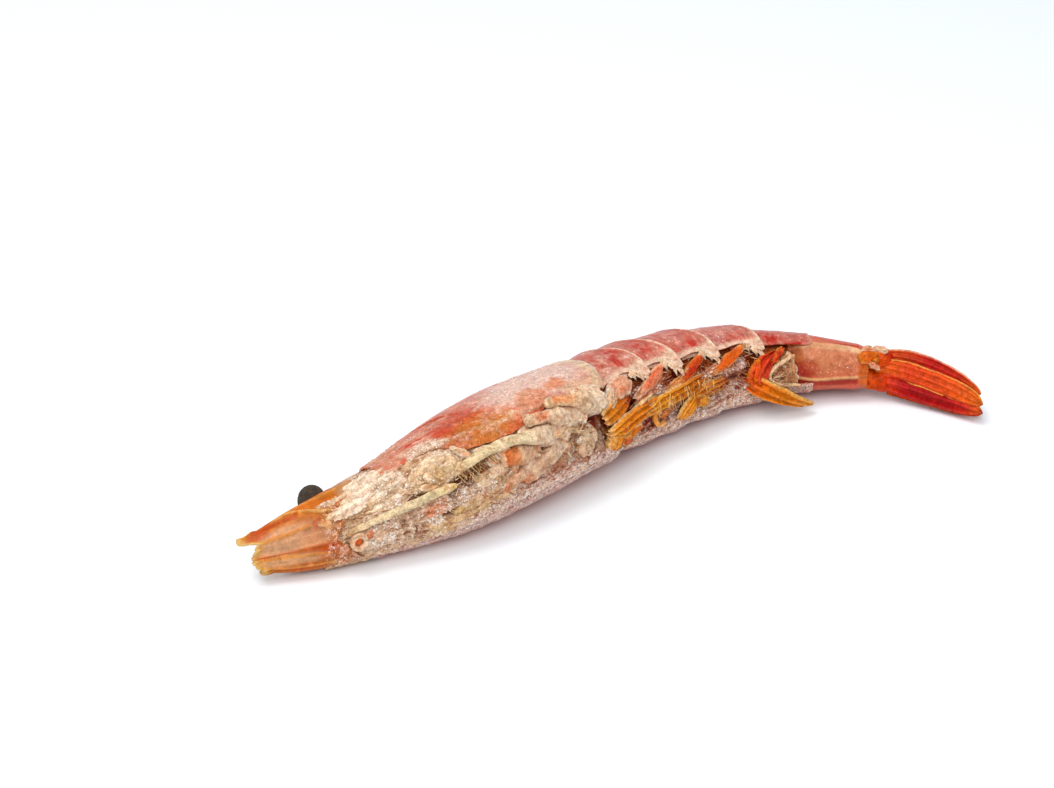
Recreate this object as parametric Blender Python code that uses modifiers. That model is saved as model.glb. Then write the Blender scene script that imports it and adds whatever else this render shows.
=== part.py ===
"""A whole raw red shrimp, frozen lying on its right side with the belly turned to the front.

Lengths in the tables are in millimetres and angles in degrees.  Every piece is placed from the
body line: a station s runs from the tips of the antennal scales (0) to the tips of the tail
blades (190), and an angle phi runs round the body from the back (0) over the left side (90)
and the belly (180) to the right side (270), which lies on the table.
"""
import math

import bmesh
import bpy
import numpy as np
from mathutils import Vector

MM = 0.001
LENGTH = 190.0
LEAD = 4.0
START = (-90.5, -18.5)
GAP = 0.35
SHELL_THICKNESS = 0.6
OVERLAP_RISE = 0.3
ROUNDNESS = 2.3

# station, value
HEADING = ((0, 1.5), (30, 12), (60, 19.5), (90, 20), (110, 16), (130, -1), (150, -21), (165, -37), (190, -65))
HEIGHT = ((0, 6.1), (30, 8.4), (65, 11.6), (100, 10.8), (130, 8.8), (155, 7.0), (170, 6.0), (190, 4.2))
ROLL = ((0, -18), (60, -22), (120, -18), (150, -24), (190, -24))
BACK = (
    (0, 1.5), (10, 4.1), (30, 10), (45, 13.5), (65, 15.9), (85, 15.1), (92, 15.1),
    (110, 14.5), (130, 12.2), (145, 8.7), (160, 6.7), (170, 3.8), (190, 1.2),
)
BELLY = (
    (0, 1.5), (10, 4.1), (30, 9.4), (45, 13.5), (65, 14.5), (85, 13.2), (92, 11.5),
    (110, 10.8), (130, 9.4), (145, 7.4), (160, 5.2), (170, 3.8), (190, 1.2),
)
HALF_WIDTH = (
    (0, 3.6), (10, 6.3), (30, 8.9), (45, 11.3), (65, 12.3), (85, 11.4), (92, 11.3),
    (110, 10.7), (130, 9.0), (145, 6.7), (160, 5.2), (170, 5.3), (190, 3.5),
)
# lower edges of the shell on the left and on the right side
LEFT_EDGE = ((18, 128), (31, 124), (42, 121), (56, 133), (66, 138), (84, 140), (120, 142), (145, 138))
RIGHT_EDGE = ((18, 240), (25, 234), (33, 222), (42, 214), (56, 210), (77, 212), (90, 216), (120, 218), (145, 220))

# colours of the materials, as red, green and blue
SHELL_COLOUR = (0.56, 0.19, 0.13)
MEAT_COLOUR = (0.62, 0.42, 0.30)
LIMB_COLOUR = (0.70, 0.55, 0.38)
AMBER_COLOUR = (0.62, 0.30, 0.07)
TAIL_COLOUR = (0.50, 0.08, 0.02)
EYE_COLOUR = (0.05, 0.04, 0.03)


def smooth(table, x):
    """Value of a table at x, along a smooth curve through its stations."""
    xs = np.array([row[0] for row in table], float)
    ys = np.array([row[1] for row in table], float)
    slopes = np.gradient(ys, xs)
    i = int(np.clip(np.searchsorted(xs, x) - 1, 0, len(xs) - 2))
    h = xs[i + 1] - xs[i]
    t = float(np.clip((x - xs[i]) / h, 0, 1))
    start = (2 * t**3 - 3 * t**2 + 1) * ys[i] + (t**3 - 2 * t**2 + t) * h * slopes[i]
    end = (3 * t**2 - 2 * t**3) * ys[i + 1] + (t**3 - t**2) * h * slopes[i + 1]
    return float(start + end)


def body_line():
    """Points of the body line every half millimetre, seen from above, from LEAD before station 0."""
    step = 0.5
    stations = np.arange(-LEAD, LENGTH + step / 2, step)
    angles = np.radians([smooth(HEADING, s) for s in stations])
    x = START[0] + np.concatenate([[0], np.cumsum(np.cos(angles[:-1]) * step)])
    y = START[1] + np.concatenate([[0], np.cumsum(np.sin(angles[:-1]) * step)])
    return stations, x, y, angles


LINE = body_line()


def frame(s):
    """The middle of the section at s, and its directions along, to the left and to the back."""
    stations, x, y, angles = LINE
    heading = float(np.interp(s, stations, angles))
    middle = np.array([np.interp(s, stations, x), np.interp(s, stations, y), smooth(HEIGHT, s)])
    along = np.array([math.cos(heading), math.sin(heading), 0.0])
    away = np.array([-math.sin(heading), math.cos(heading), 0.0])
    up = np.array([0.0, 0.0, 1.0])
    roll = math.radians(smooth(ROLL, s))
    left = up * math.cos(roll) - away * math.sin(roll)
    back = away * math.cos(roll) + up * math.sin(roll)
    return middle, along, left, back


def skin(s, phi, rise=0.0):
    """A point of the body's surface, or rise millimetres outside it, flat where it lies on the table."""
    middle, _, left, back = frame(s)
    c, n = math.cos(math.radians(phi)), math.sin(math.radians(phi))
    k = (abs(c) ** ROUNDNESS + abs(n) ** ROUNDNESS) ** (-1 / ROUNDNESS)
    depth = smooth(BACK if c > 0 else BELLY, s) + rise
    width = smooth(HALF_WIDTH, s) + rise
    point = middle + back * c * k * depth + left * n * k * width
    point[2] = max(point[2], OVERLAP_RISE - rise)
    return point


def local(s, to_left, to_back):
    """A point of the section at s by its distances to the left and to the back of the middle."""
    middle, _, left, back = frame(s)
    return middle + left * to_left + back * to_back


def vector(point):
    return Vector([float(c) * MM for c in point])


def new_object(name, points, faces, collection):
    mesh = bpy.data.meshes.new(name)
    mesh.from_pydata([vector(p) for p in points], [], faces)
    mesh.update()
    obj = bpy.data.objects.new(name, mesh)
    collection.objects.link(obj)
    return obj


def face_outward(obj):
    """Turns the faces of a closed mesh outward."""
    work = bmesh.new()
    work.from_mesh(obj.data)
    bmesh.ops.remove_doubles(work, verts=work.verts, dist=1e-6)
    bmesh.ops.recalc_face_normals(work, faces=work.faces)
    if work.calc_volume(signed=True) < 0:
        bmesh.ops.reverse_faces(work, faces=work.faces)
    bmesh.ops.triangulate(work, faces=[f for f in work.faces if len(f.verts) > 4])
    work.to_mesh(obj.data)
    work.free()


def loft(name, rings, collection):
    """A closed solid through rings of points, all with the same number of points."""
    count = len(rings[0])
    points = [p for ring in rings for p in ring]
    faces = []
    for i in range(len(rings) - 1):
        for j in range(count):
            k = (j + 1) % count
            faces.append((i * count + j, i * count + k, (i + 1) * count + k, (i + 1) * count + j))
    faces.append(tuple(reversed(range(count))))
    last = (len(rings) - 1) * count
    faces.append(tuple(last + j for j in range(count)))
    obj = new_object(name, points, faces, collection)
    face_outward(obj)
    return obj


def shell(name, point_at, rows, columns, thickness, collection):
    """An open curved sheet of points point_at(u, v), thickened inward."""
    points = [point_at(i / rows, j / columns) for i in range(rows + 1) for j in range(columns + 1)]
    faces = []
    for i in range(rows):
        for j in range(columns):
            a = i * (columns + 1) + j
            b = (i + 1) * (columns + 1) + j
            faces.append((a, a + 1, b + 1, b))
    obj = new_object(name, points, faces, collection)
    solid = obj.modifiers.new("thickness", "SOLIDIFY")
    solid.thickness = thickness * MM
    solid.offset = -1
    return obj


def limb(name, path, collection, grow=0.0, sides=8):
    """A round limb along rows of (s, phi, rise, radius), open end cut square, as a closed mesh."""
    curve = bpy.data.curves.new(name, "CURVE")
    curve.dimensions = "3D"
    curve.bevel_depth = MM
    curve.bevel_resolution = (sides - 4) // 2
    curve.use_fill_caps = True
    curve.resolution_u = 2
    spline = curve.splines.new("BEZIER")
    spline.bezier_points.add(len(path) - 1)
    for point, (s, phi, rise, radius) in zip(spline.bezier_points, path):
        place = skin(s, phi, rise)
        place[2] = max(place[2], radius * 1.15 + 0.1)
        point.co = vector(place)
        point.radius = radius + grow
        point.handle_left_type = point.handle_right_type = "AUTO"
    guide = bpy.data.objects.new(name + "_guide", curve)
    collection.objects.link(guide)
    bpy.context.view_layer.update()
    graph = bpy.context.evaluated_depsgraph_get()
    mesh = bpy.data.meshes.new_from_object(guide.evaluated_get(graph))
    mesh.name = name
    bpy.data.objects.remove(guide)
    obj = bpy.data.objects.new(name, mesh)
    collection.objects.link(obj)
    face_outward(obj)
    return obj


def blade(name, stations, collection, sides=10):
    """A leaf-shaped plate through rows of (middle, width direction, thickness direction, sizes)."""
    rings = []
    for middle, across, through, half_width, half_thickness in stations:
        ring = []
        for j in range(sides):
            a = 2 * math.pi * j / sides
            ring.append(middle + across * math.cos(a) * half_width + through * math.sin(a) * half_thickness)
        rings.append(ring)
    return loft(name, rings, collection)


def paddle(name, path, collection, grow=0.0):
    """A flat swimming limb along rows of (s, phi, rise, half width, half thickness)."""
    middles = []
    for s, phi, rise, width, thickness in path:
        place = skin(s, phi, rise)
        place[2] = max(place[2], width * 0.75 + 0.2)
        middles.append(place)
    stations = []
    for i, (s, phi, rise, width, thickness) in enumerate(path):
        ahead = middles[min(i + 1, len(middles) - 1)] - middles[max(i - 1, 0)]
        ahead /= np.linalg.norm(ahead)
        outward = skin(s, phi, 2.0) - skin(s, phi, -2.0)
        outward -= ahead * outward.dot(ahead)
        outward /= np.linalg.norm(outward)
        across = np.cross(ahead, outward)
        stations.append((middles[i], across, outward, width + grow, thickness + grow))
    return blade(name, stations, collection, sides=8)


def cut(obj, cutter):
    """Takes the cutter's shape out of the object."""
    boolean = obj.modifiers.new("clear of " + cutter.name, "BOOLEAN")
    boolean.operation = "DIFFERENCE"
    boolean.solver = "MANIFOLD"
    boolean.object = cutter


def body_rise(s, v):
    """How far under the skin the soft body lies, at share v of the way across the belly."""
    covered = float(np.interp(s, (18, 23, 28.5, 34, 77, 83, 143), (-3.6, -3.6, -2.4, -1.1, -1.1, -2.9, -2.9)))
    bare = smooth(
        ((18, -1.5), (22, -0.8), (28, -0.4), (36, -0.5), (42, -1.2), (50, -2.3), (60, -2.8), (76, -3.2),
         (81, -5.0), (87, -4.2), (94, -3.1), (125, -3.1), (143, -3.0)), s,
    )
    share = min(1.0, 7.0 * min(v, 1 - v))
    return covered + (bare - covered) * share


def body_rings(grow):
    stations = np.concatenate([[18.2, 20.0], np.arange(23.0, 47.0, 4.0), np.arange(47.0, 141.0, 5.5), [142.4]])
    rings = []
    for s in stations:
        left, right = smooth(LEFT_EDGE, s), smooth(RIGHT_EDGE, s)
        ring = [skin(s, phi, body_rise(s, 0) + grow) for phi in np.linspace(right - 360, left, 16)]
        for v in np.linspace(0, 1, 10)[1:-1]:
            ring.append(skin(s, left + v * (right - left), body_rise(s, v) + grow))
        rings.append(ring)
    if grow:
        along = frame(stations[0])[1]
        rings[0] = [p - along * grow for p in rings[0]]
        along = frame(stations[-1])[1]
        rings[-1] = [p + along * grow for p in rings[-1]]
    return rings


def carapace_point(u, v):
    """u runs from the front edge to the rear edge, v from the right lower edge to the left one."""
    side = abs(2 * v - 1)
    front = 29.4 + 2.4 * (1 - side) - 5.5 * max(0.0, 1 - v / 0.25)
    rear = 89.0 - 5.0 * side**4 - 1.5 * (1 - side)
    s = front + u * (rear - front)
    left, right = smooth(LEFT_EDGE, s), smooth(RIGHT_EDGE, s)
    hook = 4.0 * max(0.0, u - 0.8) / 0.2
    phi = (right - hook - 360) + v * (left + hook - (right - hook - 360))
    return skin(s, phi, OVERLAP_RISE)


def tergite_point(front, rear, drop):
    """The shape of one tail-segment shell; its rear corners hang down by drop degrees."""

    def point(u, v):
        side = abs(2 * v - 1)
        s = front + u * (rear - front) - 1.5 * side**6 * u
        left, right = smooth(LEFT_EDGE, s), smooth(RIGHT_EDGE, s)
        hook = drop * max(0.0, u - 0.45) / 0.55
        start = right - 0.5 * hook - 360
        phi = start + v * (left + hook - start)
        rise = -1.4 + (OVERLAP_RISE + 1.4) * u
        return skin(s, phi, rise)

    return point


def segment_six(collection):
    rings = []
    for i in range(9):
        u = i / 8
        s = 143.0 + 17.5 * u
        rise = -1.2 + 1.2 * min(1.0, 3 * u) - 0.8 * max(0.0, u - 0.85) / 0.15
        ring = []
        for phi in np.linspace(0, 360, 20, endpoint=False):
            hollow = 1.3 * max(0.0, math.cos(math.radians(phi - 176) * 1.7)) if 123 < phi < 229 else 0.0
            ring.append(skin(s, phi, rise - hollow))
        rings.append(ring)
    return loft("segment_six", rings, collection)


def antennal_scale(name, side, collection):
    """One broad plate before the head; side is +1 for the left and -1 for the right one."""

    def point(u, v):
        tip = (0.8 - 3.0 * v if side > 0 else 1.4) + 0.9 * math.sin(9 * v + side) + 0.6 * math.sin(23 * v)
        s = tip + u * (17.2 + 11.5 * v - tip)
        inner, outer = (183.0, 72.0) if side > 0 else (188.0, 292.0)
        return skin(s, inner + v * (outer - inner))

    def turned(u, v):
        return point(u, 1 - v) if side > 0 else point(u, v)

    return shell(name, turned, 8, 7, 0.8, collection)


def rostrum(collection):
    """The toothed spine over the head: an outline in the middle plane, thickened to both sides."""
    top = [(31.3, 0.6)]
    for k in range(7):
        s = 30.2 - 2.2 * k
        top.append((s, 0.9 + 0.1 * k))
        top.append((s - 0.9, 2.3 - 0.08 * k))
        top.append((s - 1.2, 1.1 + 0.1 * k))
    top.append((13.5, 2.2))
    under = [(16.0, 0.5), (22.0, -0.9), (28.0, -1.4), (31.3, -1.5)]
    outline = top + under

    def side_points(shift):
        points = []
        for s, rise in outline:
            middle, _, left, back = frame(s)
            points.append(middle + back * (10.0 + 0.05 * (32.0 - s) + rise) + left * shift)
        return points

    count = len(outline)
    half = 0.55
    points = side_points(half) + side_points(-half)
    faces = [tuple(range(count)), tuple(reversed(range(count, 2 * count)))]
    for j in range(count):
        k = (j + 1) % count
        faces.append((j, count + j, count + k, k))
    obj = new_object("rostrum", points, faces, collection)
    face_outward(obj)
    return obj


def eye(name, place, radius, collection):
    bpy.ops.mesh.primitive_uv_sphere_add(segments=14, ring_count=9, radius=radius * MM, location=vector(place))
    obj = bpy.context.active_object
    obj.name = name
    obj.data.name = name
    for other in list(obj.users_collection):
        other.objects.unlink(obj)
    collection.objects.link(obj)
    return obj


def stalk(name, start, end, radius, collection):
    stations = []
    ahead = (end - start) / np.linalg.norm(end - start)
    across = np.cross(ahead, [0.0, 0.0, 1.0])
    across /= np.linalg.norm(across)
    through = np.cross(ahead, across)
    for t, size in ((0, 0.7), (0.4, 0.85), (0.8, 1.0), (1.0, 1.1)):
        stations.append((start + (end - start) * t, across, through, radius * size, radius * size))
    return blade(name, stations, collection, sides=8)


def tail_blade(name, offsets, widths, thickness, tilt, collection):
    """One blade of the folded tail: offsets and widths are tables along the body line."""
    first, last = offsets[0][0], offsets[-1][0]
    stations = []
    for t in np.linspace(0, 1, 9):
        s = first + (last - first) * t
        _, along, left, back = frame(s)
        to_left = smooth([(row[0], row[1]) for row in offsets], s)
        to_back = smooth([(row[0], row[2]) for row in offsets], s)
        a = math.radians(tilt)
        across = left * math.cos(a) + back * math.sin(a)
        through = back * math.cos(a) - left * math.sin(a)
        stations.append((local(s, to_left, to_back), across, through, smooth(widths, s), thickness))
    return blade(name, stations, collection, sides=10)


def material(name, colour, roughness):
    mat = bpy.data.materials.new(name)
    mat.use_nodes = True
    principled = mat.node_tree.nodes["Principled BSDF"]
    principled.inputs["Base Color"].default_value = (*colour, 1.0)
    principled.inputs["Roughness"].default_value = roughness
    mat.diffuse_color = (*colour, 1.0)
    return mat


def colour(objects, kind, value, roughness):
    for obj in objects:
        obj.data.materials.clear()
        obj.data.materials.append(material(kind + "_" + obj.name, value, roughness))


for old in list(bpy.data.objects):
    bpy.data.objects.remove(old)
for old in list(bpy.data.collections):
    bpy.data.collections.remove(old)

shrimp = bpy.data.collections.new("raw_red_shrimp")
cutters = bpy.data.collections.new("cutters")
bpy.context.scene.collection.children.link(shrimp)
bpy.context.scene.collection.children.link(cutters)

# --- soft body, shells of the head and of the tail segments ---
body = loft("body", body_rings(0.0), shrimp)
body_clearance = loft("body_clearance", body_rings(GAP), cutters)

carapace = shell("carapace", carapace_point, 13, 20, SHELL_THICKNESS, shrimp)
TERGITES = ((84.6, 99.0, 12), (95.0, 108.5, 14), (104.5, 120.5, 14), (116.5, 134.0, 14), (130.0, 147.0, 5))
tergites = []
for index, (front, rear, drop) in enumerate(TERGITES):
    name = f"tergite_{index + 1}"
    tergites.append(shell(name, tergite_point(front, rear, drop), 4, 18, SHELL_THICKNESS, shrimp))
sixth = segment_six(shrimp)
spine = rostrum(shrimp)

# --- plates, feelers and eyes of the head ---
scales = [antennal_scale("scale_left", 1, shrimp), antennal_scale("scale_right", -1, shrimp)]
feelers = []
for name, to_left in (("antennule_left", 2.1), ("antennule_right", -2.1)):
    rows = []
    for s, to_back, radius in ((22.0, 0.9, 1.4), (17.0, 0.7, 1.5), (12.0, 0.5, 1.3), (7.0, 0.3, 0.9)):
        middle, along, left, back = frame(s)
        shift = to_left * (0.6 + 0.4 * (s - 7.0) / 15.0)
        rows.append((local(s, shift, to_back), left, back, radius * 0.8, radius * 0.7))
    feelers.append(blade(name, rows, shrimp, sides=8))
ANTENNA_LEFT = ((32.5, 152, -4.0, 2.3), (30.5, 145, -1.2, 2.4), (28.2, 134, -1.0, 2.0), (26.6, 129, -0.9, 1.7))
ANTENNA_RIGHT = ((28.5, 196, -3.2, 2.2), (25.5, 196, -1.2, 2.4), (22.8, 195, 0.2, 2.1), (21.4, 194, 1.2, 1.7))
antennae = [limb("antenna_left", ANTENNA_LEFT, shrimp), limb("antenna_right", ANTENNA_RIGHT, shrimp)]
for piece in [*feelers, *antennae]:
    cut(piece, body_clearance)
EYE_RADIUS = 3.3
eye_places = (local(18.6, 5.0, 7.2), local(16.8, -1.9, 5.7))
eyes = [eye("eye_left", eye_places[0], EYE_RADIUS, shrimp), eye("eye_right", eye_places[1], 3.0, shrimp)]
stalk_roots = (local(24.5, 3.0, 5.6), local(24.5, -2.6, 5.4))
stalks = []
for name, root, place in zip(("stalk_left", "stalk_right"), stalk_roots, eye_places):
    ahead = (place - root) / np.linalg.norm(place - root)
    stalks.append(stalk(name, root, place - ahead * (EYE_RADIUS + GAP + 0.1), 1.4, shrimp))
    cut(stalks[-1], body_clearance)

# --- limbs under the head: rows of station, angle, rise and radius ---
MAXILLIPEDS = {
    "maxilliped_left": ((45.0, 150, -3.0, 1.4), (41.5, 151, 0.0, 1.4), (37.5, 152, 0.5, 1.2), (34.5, 153, 0.7, 1.0)),
    "maxilliped_right": ((45.0, 170, -3.0, 1.4), (41.0, 170, 0.2, 1.3), (31.0, 171, 1.0, 1.2), (23.6, 175, 1.0, 1.0)),
}
LEGS = {
    "leg_left_5": ((80.0, 154, -5.0, 2.2), (78.0, 154, -1.2, 2.6), (75.0, 151, 1.0, 2.1), (71.5, 147, 2.0, 1.3),
                   (66.0, 143, 2.3, 1.2)),
    "leg_left_4": ((72.5, 160, -5.0, 2.2), (71.0, 159, -1.2, 2.7), (68.0, 155, 0.4, 2.0), (65.0, 151, 1.2, 1.4),
                   (60.0, 148, 1.7, 1.3)),
    "leg_left_3": ((66.0, 168, -5.0, 2.1), (64.5, 167, -1.3, 2.6), (61.0, 162, 0.2, 1.8), (57.0, 157, 0.9, 1.4),
                   (50.0, 154, 1.0, 1.3), (43.0, 157, 0.8, 1.1)),
    "leg_left_2": ((60.0, 176, -5.0, 2.0), (58.5, 175, -1.6, 2.4), (55.5, 171, -0.6, 2.0), (53.0, 169, -0.2, 1.7)),
    "leg_left_1": ((54.0, 184, -5.0, 1.7), (52.0, 182, -2.4, 1.8), (49.0, 179, -1.4, 1.5), (46.0, 177, -1.0, 1.2)),
    "leg_right_5": ((76.0, 186, -5.4, 1.9), (75.0, 190, -2.0, 2.4), (73.5, 196, -0.9, 2.1), (72.0, 202, -1.0, 1.6)),
    "leg_right_4": ((69.0, 180, -5.4, 1.9), (67.5, 182, -2.0, 2.1), (63.5, 189, -0.9, 1.8), (60.0, 196, -0.8, 1.6),
                    (57.0, 201, -0.9, 1.4)),
    "leg_right_3": ((63.5, 190, -5.4, 1.6), (61.5, 186, -2.4, 1.7), (56.5, 193, -1.2, 1.6), (52.0, 200, -1.1, 1.4)),
    "leg_right_2": ((56.5, 188, -5.0, 1.6), (55.0, 190, -2.4, 1.7), (51.0, 196, -1.4, 1.5), (47.0, 202, -1.1, 1.3)),
    "leg_right_1": ((50.0, 192, -4.6, 1.5), (48.5, 193, -2.2, 1.6), (44.5, 196, -0.9, 1.4), (40.5, 200, -0.4, 1.2)),
}
limbs = []
clearances = []
for name, path in {**MAXILLIPEDS, **LEGS}.items():
    piece = limb(name, path, shrimp)
    cut(piece, body_clearance)
    for near in clearances:
        cut(piece, near)
    clearances.append(limb(name + "_clearance", path, cutters, grow=GAP))
    limbs.append(piece)

# --- swimming limbs: rows of station, angle, rise, half width and half thickness ---
SWIMMERETS = {
    "swimmeret_left_1": ((90.0, 154, -4.4, 1.8, 1.3), (88.5, 154, -1.8, 2.4, 1.4), (86.5, 158, -0.6, 2.6, 1.3),
                         (84.0, 168, -0.8, 2.4, 1.0), (81.5, 177, -1.2, 1.6, 0.7)),
    "swimmeret_left_2": ((104.0, 156, -4.2, 1.6, 1.2), (102.5, 156, -1.9, 2.2, 1.2), (99.0, 161, -0.7, 2.3, 1.1),
                         (95.5, 168, -0.7, 2.0, 0.9), (92.5, 173, -1.0, 1.2, 0.6)),
    "swimmeret_left_3": ((114.0, 157, -4.2, 1.6, 1.2), (112.5, 158, -1.9, 2.2, 1.2), (108.5, 163, -0.7, 2.3, 1.1),
                         (104.5, 170, -0.7, 2.0, 0.9), (101.5, 175, -1.0, 1.2, 0.6)),
    "swimmeret_left_4": ((128.0, 156, -4.0, 1.6, 1.2), (126.5, 157, -2.1, 2.1, 1.2), (122.5, 159, -0.8, 2.2, 1.1),
                         (118.5, 165, -0.9, 1.9, 0.9), (115.5, 169, -1.1, 1.2, 0.6)),
    "swimmeret_left_5": ((137.0, 160, -3.8, 1.6, 1.2), (135.0, 166, -1.5, 2.2, 1.3), (132.0, 176, -0.6, 2.1, 1.1),
                         (131.0, 187, -0.4, 1.7, 0.9), (131.5, 192, -0.2, 1.3, 0.7)),
    "swimmeret_right_1": ((92.0, 203, -4.4, 1.6, 1.2), (90.0, 204, -1.8, 2.2, 1.3), (86.0, 202, -1.0, 2.1, 1.1),
                          (82.0, 200, -1.0, 1.6, 0.8)),
    "swimmeret_right_2": ((103.0, 197, -4.2, 1.6, 1.2), (101.0, 195, -1.5, 2.0, 1.2), (95.0, 190, -0.2, 2.2, 1.0),
                          (88.0, 188, 0.2, 2.0, 0.9), (83.0, 189, 0.0, 1.3, 0.6)),
    "swimmeret_right_3": ((114.5, 194, -4.2, 1.6, 1.2), (112.5, 190, -1.5, 2.0, 1.2), (107.5, 186, -0.4, 2.1, 1.0),
                          (102.5, 185, -0.2, 1.8, 0.9), (99.5, 185, -0.2, 1.2, 0.6)),
    "swimmeret_right_4": ((125.0, 200, -4.0, 1.6, 1.2), (122.0, 200, -1.5, 1.9, 1.2), (116.0, 201, -0.7, 2.0, 1.1),
                          (109.0, 202, -0.4, 1.7, 0.9), (105.5, 202, -0.4, 1.1, 0.6)),
    "swimmeret_right_5": ((130.0, 194, -3.8, 1.6, 1.2), (132.5, 199, -0.6, 1.5, 1.2), (136.5, 210, 2.6, 1.9, 1.2),
                          (141.0, 224, 3.1, 1.8, 1.0), (146.0, 232, 3.8, 1.1, 0.6)),
}
for name, path in SWIMMERETS.items():
    piece = paddle(name, path, shrimp)
    cut(piece, body_clearance)
    for near in clearances[-12:]:
        cut(piece, near)
    clearances.append(paddle(name + "_clearance", path, cutters, grow=GAP))
    limbs.append(piece)

# --- folded tail: rows of station, distance to the left and distance to the back ---
telson = tail_blade(
    "telson", ((161.0, 0.6, 3.6), (172, 1.1, 3.2), (188, 1.2, 2.4)),
    ((161.0, 3.6), (168, 3.6), (178, 2.6), (188, 0.8)), 1.0, 0, shrimp,
)
tail = [telson]
TAIL_BLADES = {
    "uropod_inner_left": (((165.6, 2.7, 1.1), (174, 3.0, 1.0), (189, 2.1, 0.9)), 12),
    "uropod_inner_right": (((165.6, -2.7, 0.7), (174, -2.8, 0.6), (189, -2.1, 0.5)), -6),
    "uropod_outer_left": (((165.6, 2.5, -1.0), (174, 2.5, -1.0), (190, 1.6, -0.8)), 6),
    "uropod_outer_right": (((165.6, -2.7, -1.5), (174, -2.9, -1.3), (190, -2.0, -1.2)), -8),
}
for name, (offsets, tilt) in TAIL_BLADES.items():
    last = offsets[-1][0]
    widths = ((165.6, 2.5), (170, 2.7), (176, 2.6), (184, 2.2), (last, 1.2))
    tail.append(tail_blade(name, offsets, widths, 0.75, tilt, shrimp))
for name, to_left in (("tail_root_left", 2.75), ("tail_root_right", -2.75)):
    rows = []
    for s, size in ((160.95, 2.3), (162.5, 2.6), (164.3, 2.5), (165.2, 2.1)):
        middle, along, left, back = frame(s)
        rows.append((local(s, to_left, -0.3), left, back, size, size))
    tail.append(blade(name, rows, shrimp, sides=10))

colour([carapace, *tergites, spine], "shell", SHELL_COLOUR, 0.4)
colour([body, sixth], "meat", MEAT_COLOUR, 0.45)
colour([*limbs[:12], *antennae, *stalks, *feelers], "limb", LIMB_COLOUR, 0.5)
colour([*limbs[12:], *scales], "amber", AMBER_COLOUR, 0.4)
colour(tail, "tail", TAIL_COLOUR, 0.35)
colour(eyes, "eye", EYE_COLOUR, 0.25)

for cutter in cutters.objects:
    cutter.hide_render = True
    cutter.display_type = "WIRE"
bpy.context.view_layer.update()
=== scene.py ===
"""Looks of a whole raw red shrimp, frozen, lying on its right side with the belly to the front.

Lengths in the tables are in millimetres and angles in degrees.  A station s runs along the body
from the tips of the antennal scales (0) to the tips of the tail blades (190).  An angle phi runs
round the body from the back (0) over the left side (90) and the belly (180) to the right side
(270), which lies on the table.  Colours are red, green and blue from 0 to 255.
"""
import math

import bpy
import numpy as np
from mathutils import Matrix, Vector


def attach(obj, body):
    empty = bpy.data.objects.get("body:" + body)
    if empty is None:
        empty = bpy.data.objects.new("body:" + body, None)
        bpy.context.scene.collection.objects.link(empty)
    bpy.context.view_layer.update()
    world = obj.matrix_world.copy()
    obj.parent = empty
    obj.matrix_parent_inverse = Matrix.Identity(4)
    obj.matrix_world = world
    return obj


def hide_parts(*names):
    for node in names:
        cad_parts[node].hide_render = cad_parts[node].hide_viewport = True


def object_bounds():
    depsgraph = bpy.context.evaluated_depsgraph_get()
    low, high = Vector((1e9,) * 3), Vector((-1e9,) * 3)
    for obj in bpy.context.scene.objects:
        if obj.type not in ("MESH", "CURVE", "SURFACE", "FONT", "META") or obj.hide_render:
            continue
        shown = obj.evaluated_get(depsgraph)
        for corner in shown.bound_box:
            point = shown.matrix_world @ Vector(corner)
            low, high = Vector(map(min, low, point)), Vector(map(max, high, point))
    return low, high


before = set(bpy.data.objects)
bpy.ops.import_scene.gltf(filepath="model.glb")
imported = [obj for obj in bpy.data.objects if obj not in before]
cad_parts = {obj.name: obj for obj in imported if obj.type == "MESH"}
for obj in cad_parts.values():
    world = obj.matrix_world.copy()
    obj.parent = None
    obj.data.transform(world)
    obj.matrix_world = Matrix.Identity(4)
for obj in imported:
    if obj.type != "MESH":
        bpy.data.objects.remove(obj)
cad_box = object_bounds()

MM = 0.001
BOX_LOW = np.array(cad_box[0]) / MM + 0.02
BOX_HIGH = np.array(cad_box[1]) / MM - 0.02

# ---------- the body line and its skin

LENGTH = 190.0
LEAD = 4.0
START = (-90.5, -18.5)
OVERLAP_RISE = 0.3
ROUNDNESS = 2.3
DEPTH_OF_COLOUR = 1.20
WARMTH = (0.80, 0.66, 0.53)
HEADING = ((0, 1.5), (30, 12), (60, 19.5), (90, 20), (110, 16), (130, -1), (150, -21), (165, -37), (190, -65))
HEIGHT = ((0, 6.1), (30, 8.4), (65, 11.6), (100, 10.8), (130, 8.8), (155, 7.0), (170, 6.0), (190, 4.2))
ROLL = ((0, -18), (60, -22), (120, -18), (150, -24), (190, -24))
BACK = (
    (0, 1.5), (10, 4.1), (30, 10), (45, 13.5), (65, 15.9), (85, 15.1), (92, 15.1),
    (110, 14.5), (130, 12.2), (145, 8.7), (160, 6.7), (170, 3.8), (190, 1.2),
)
BELLY = (
    (0, 1.5), (10, 4.1), (30, 9.4), (45, 13.5), (65, 14.5), (85, 13.2), (92, 11.5),
    (110, 10.8), (130, 9.4), (145, 7.4), (160, 5.2), (170, 3.8), (190, 1.2),
)
HALF_WIDTH = (
    (0, 3.6), (10, 6.3), (30, 8.9), (45, 11.3), (65, 12.3), (85, 11.4), (92, 11.3),
    (110, 10.7), (130, 9), (145, 6.7), (160, 5.2), (170, 5.3), (190, 3.5),
)
LEFT_EDGE = ((18, 128), (31, 124), (42, 121), (56, 133), (66, 138), (84, 140), (120, 142), (145, 138))
RIGHT_EDGE = (
    (18, 240), (25, 234), (33, 222), (42, 214), (56, 210), (77, 212), (90, 216), (120, 218), (145, 220),
)
SHELL_EDGE = (
    (18, 128), (31, 124), (37, 121), (42, 126), (47, 142), (52, 148), (62, 149), (68, 142), (84, 140),
)
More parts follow.
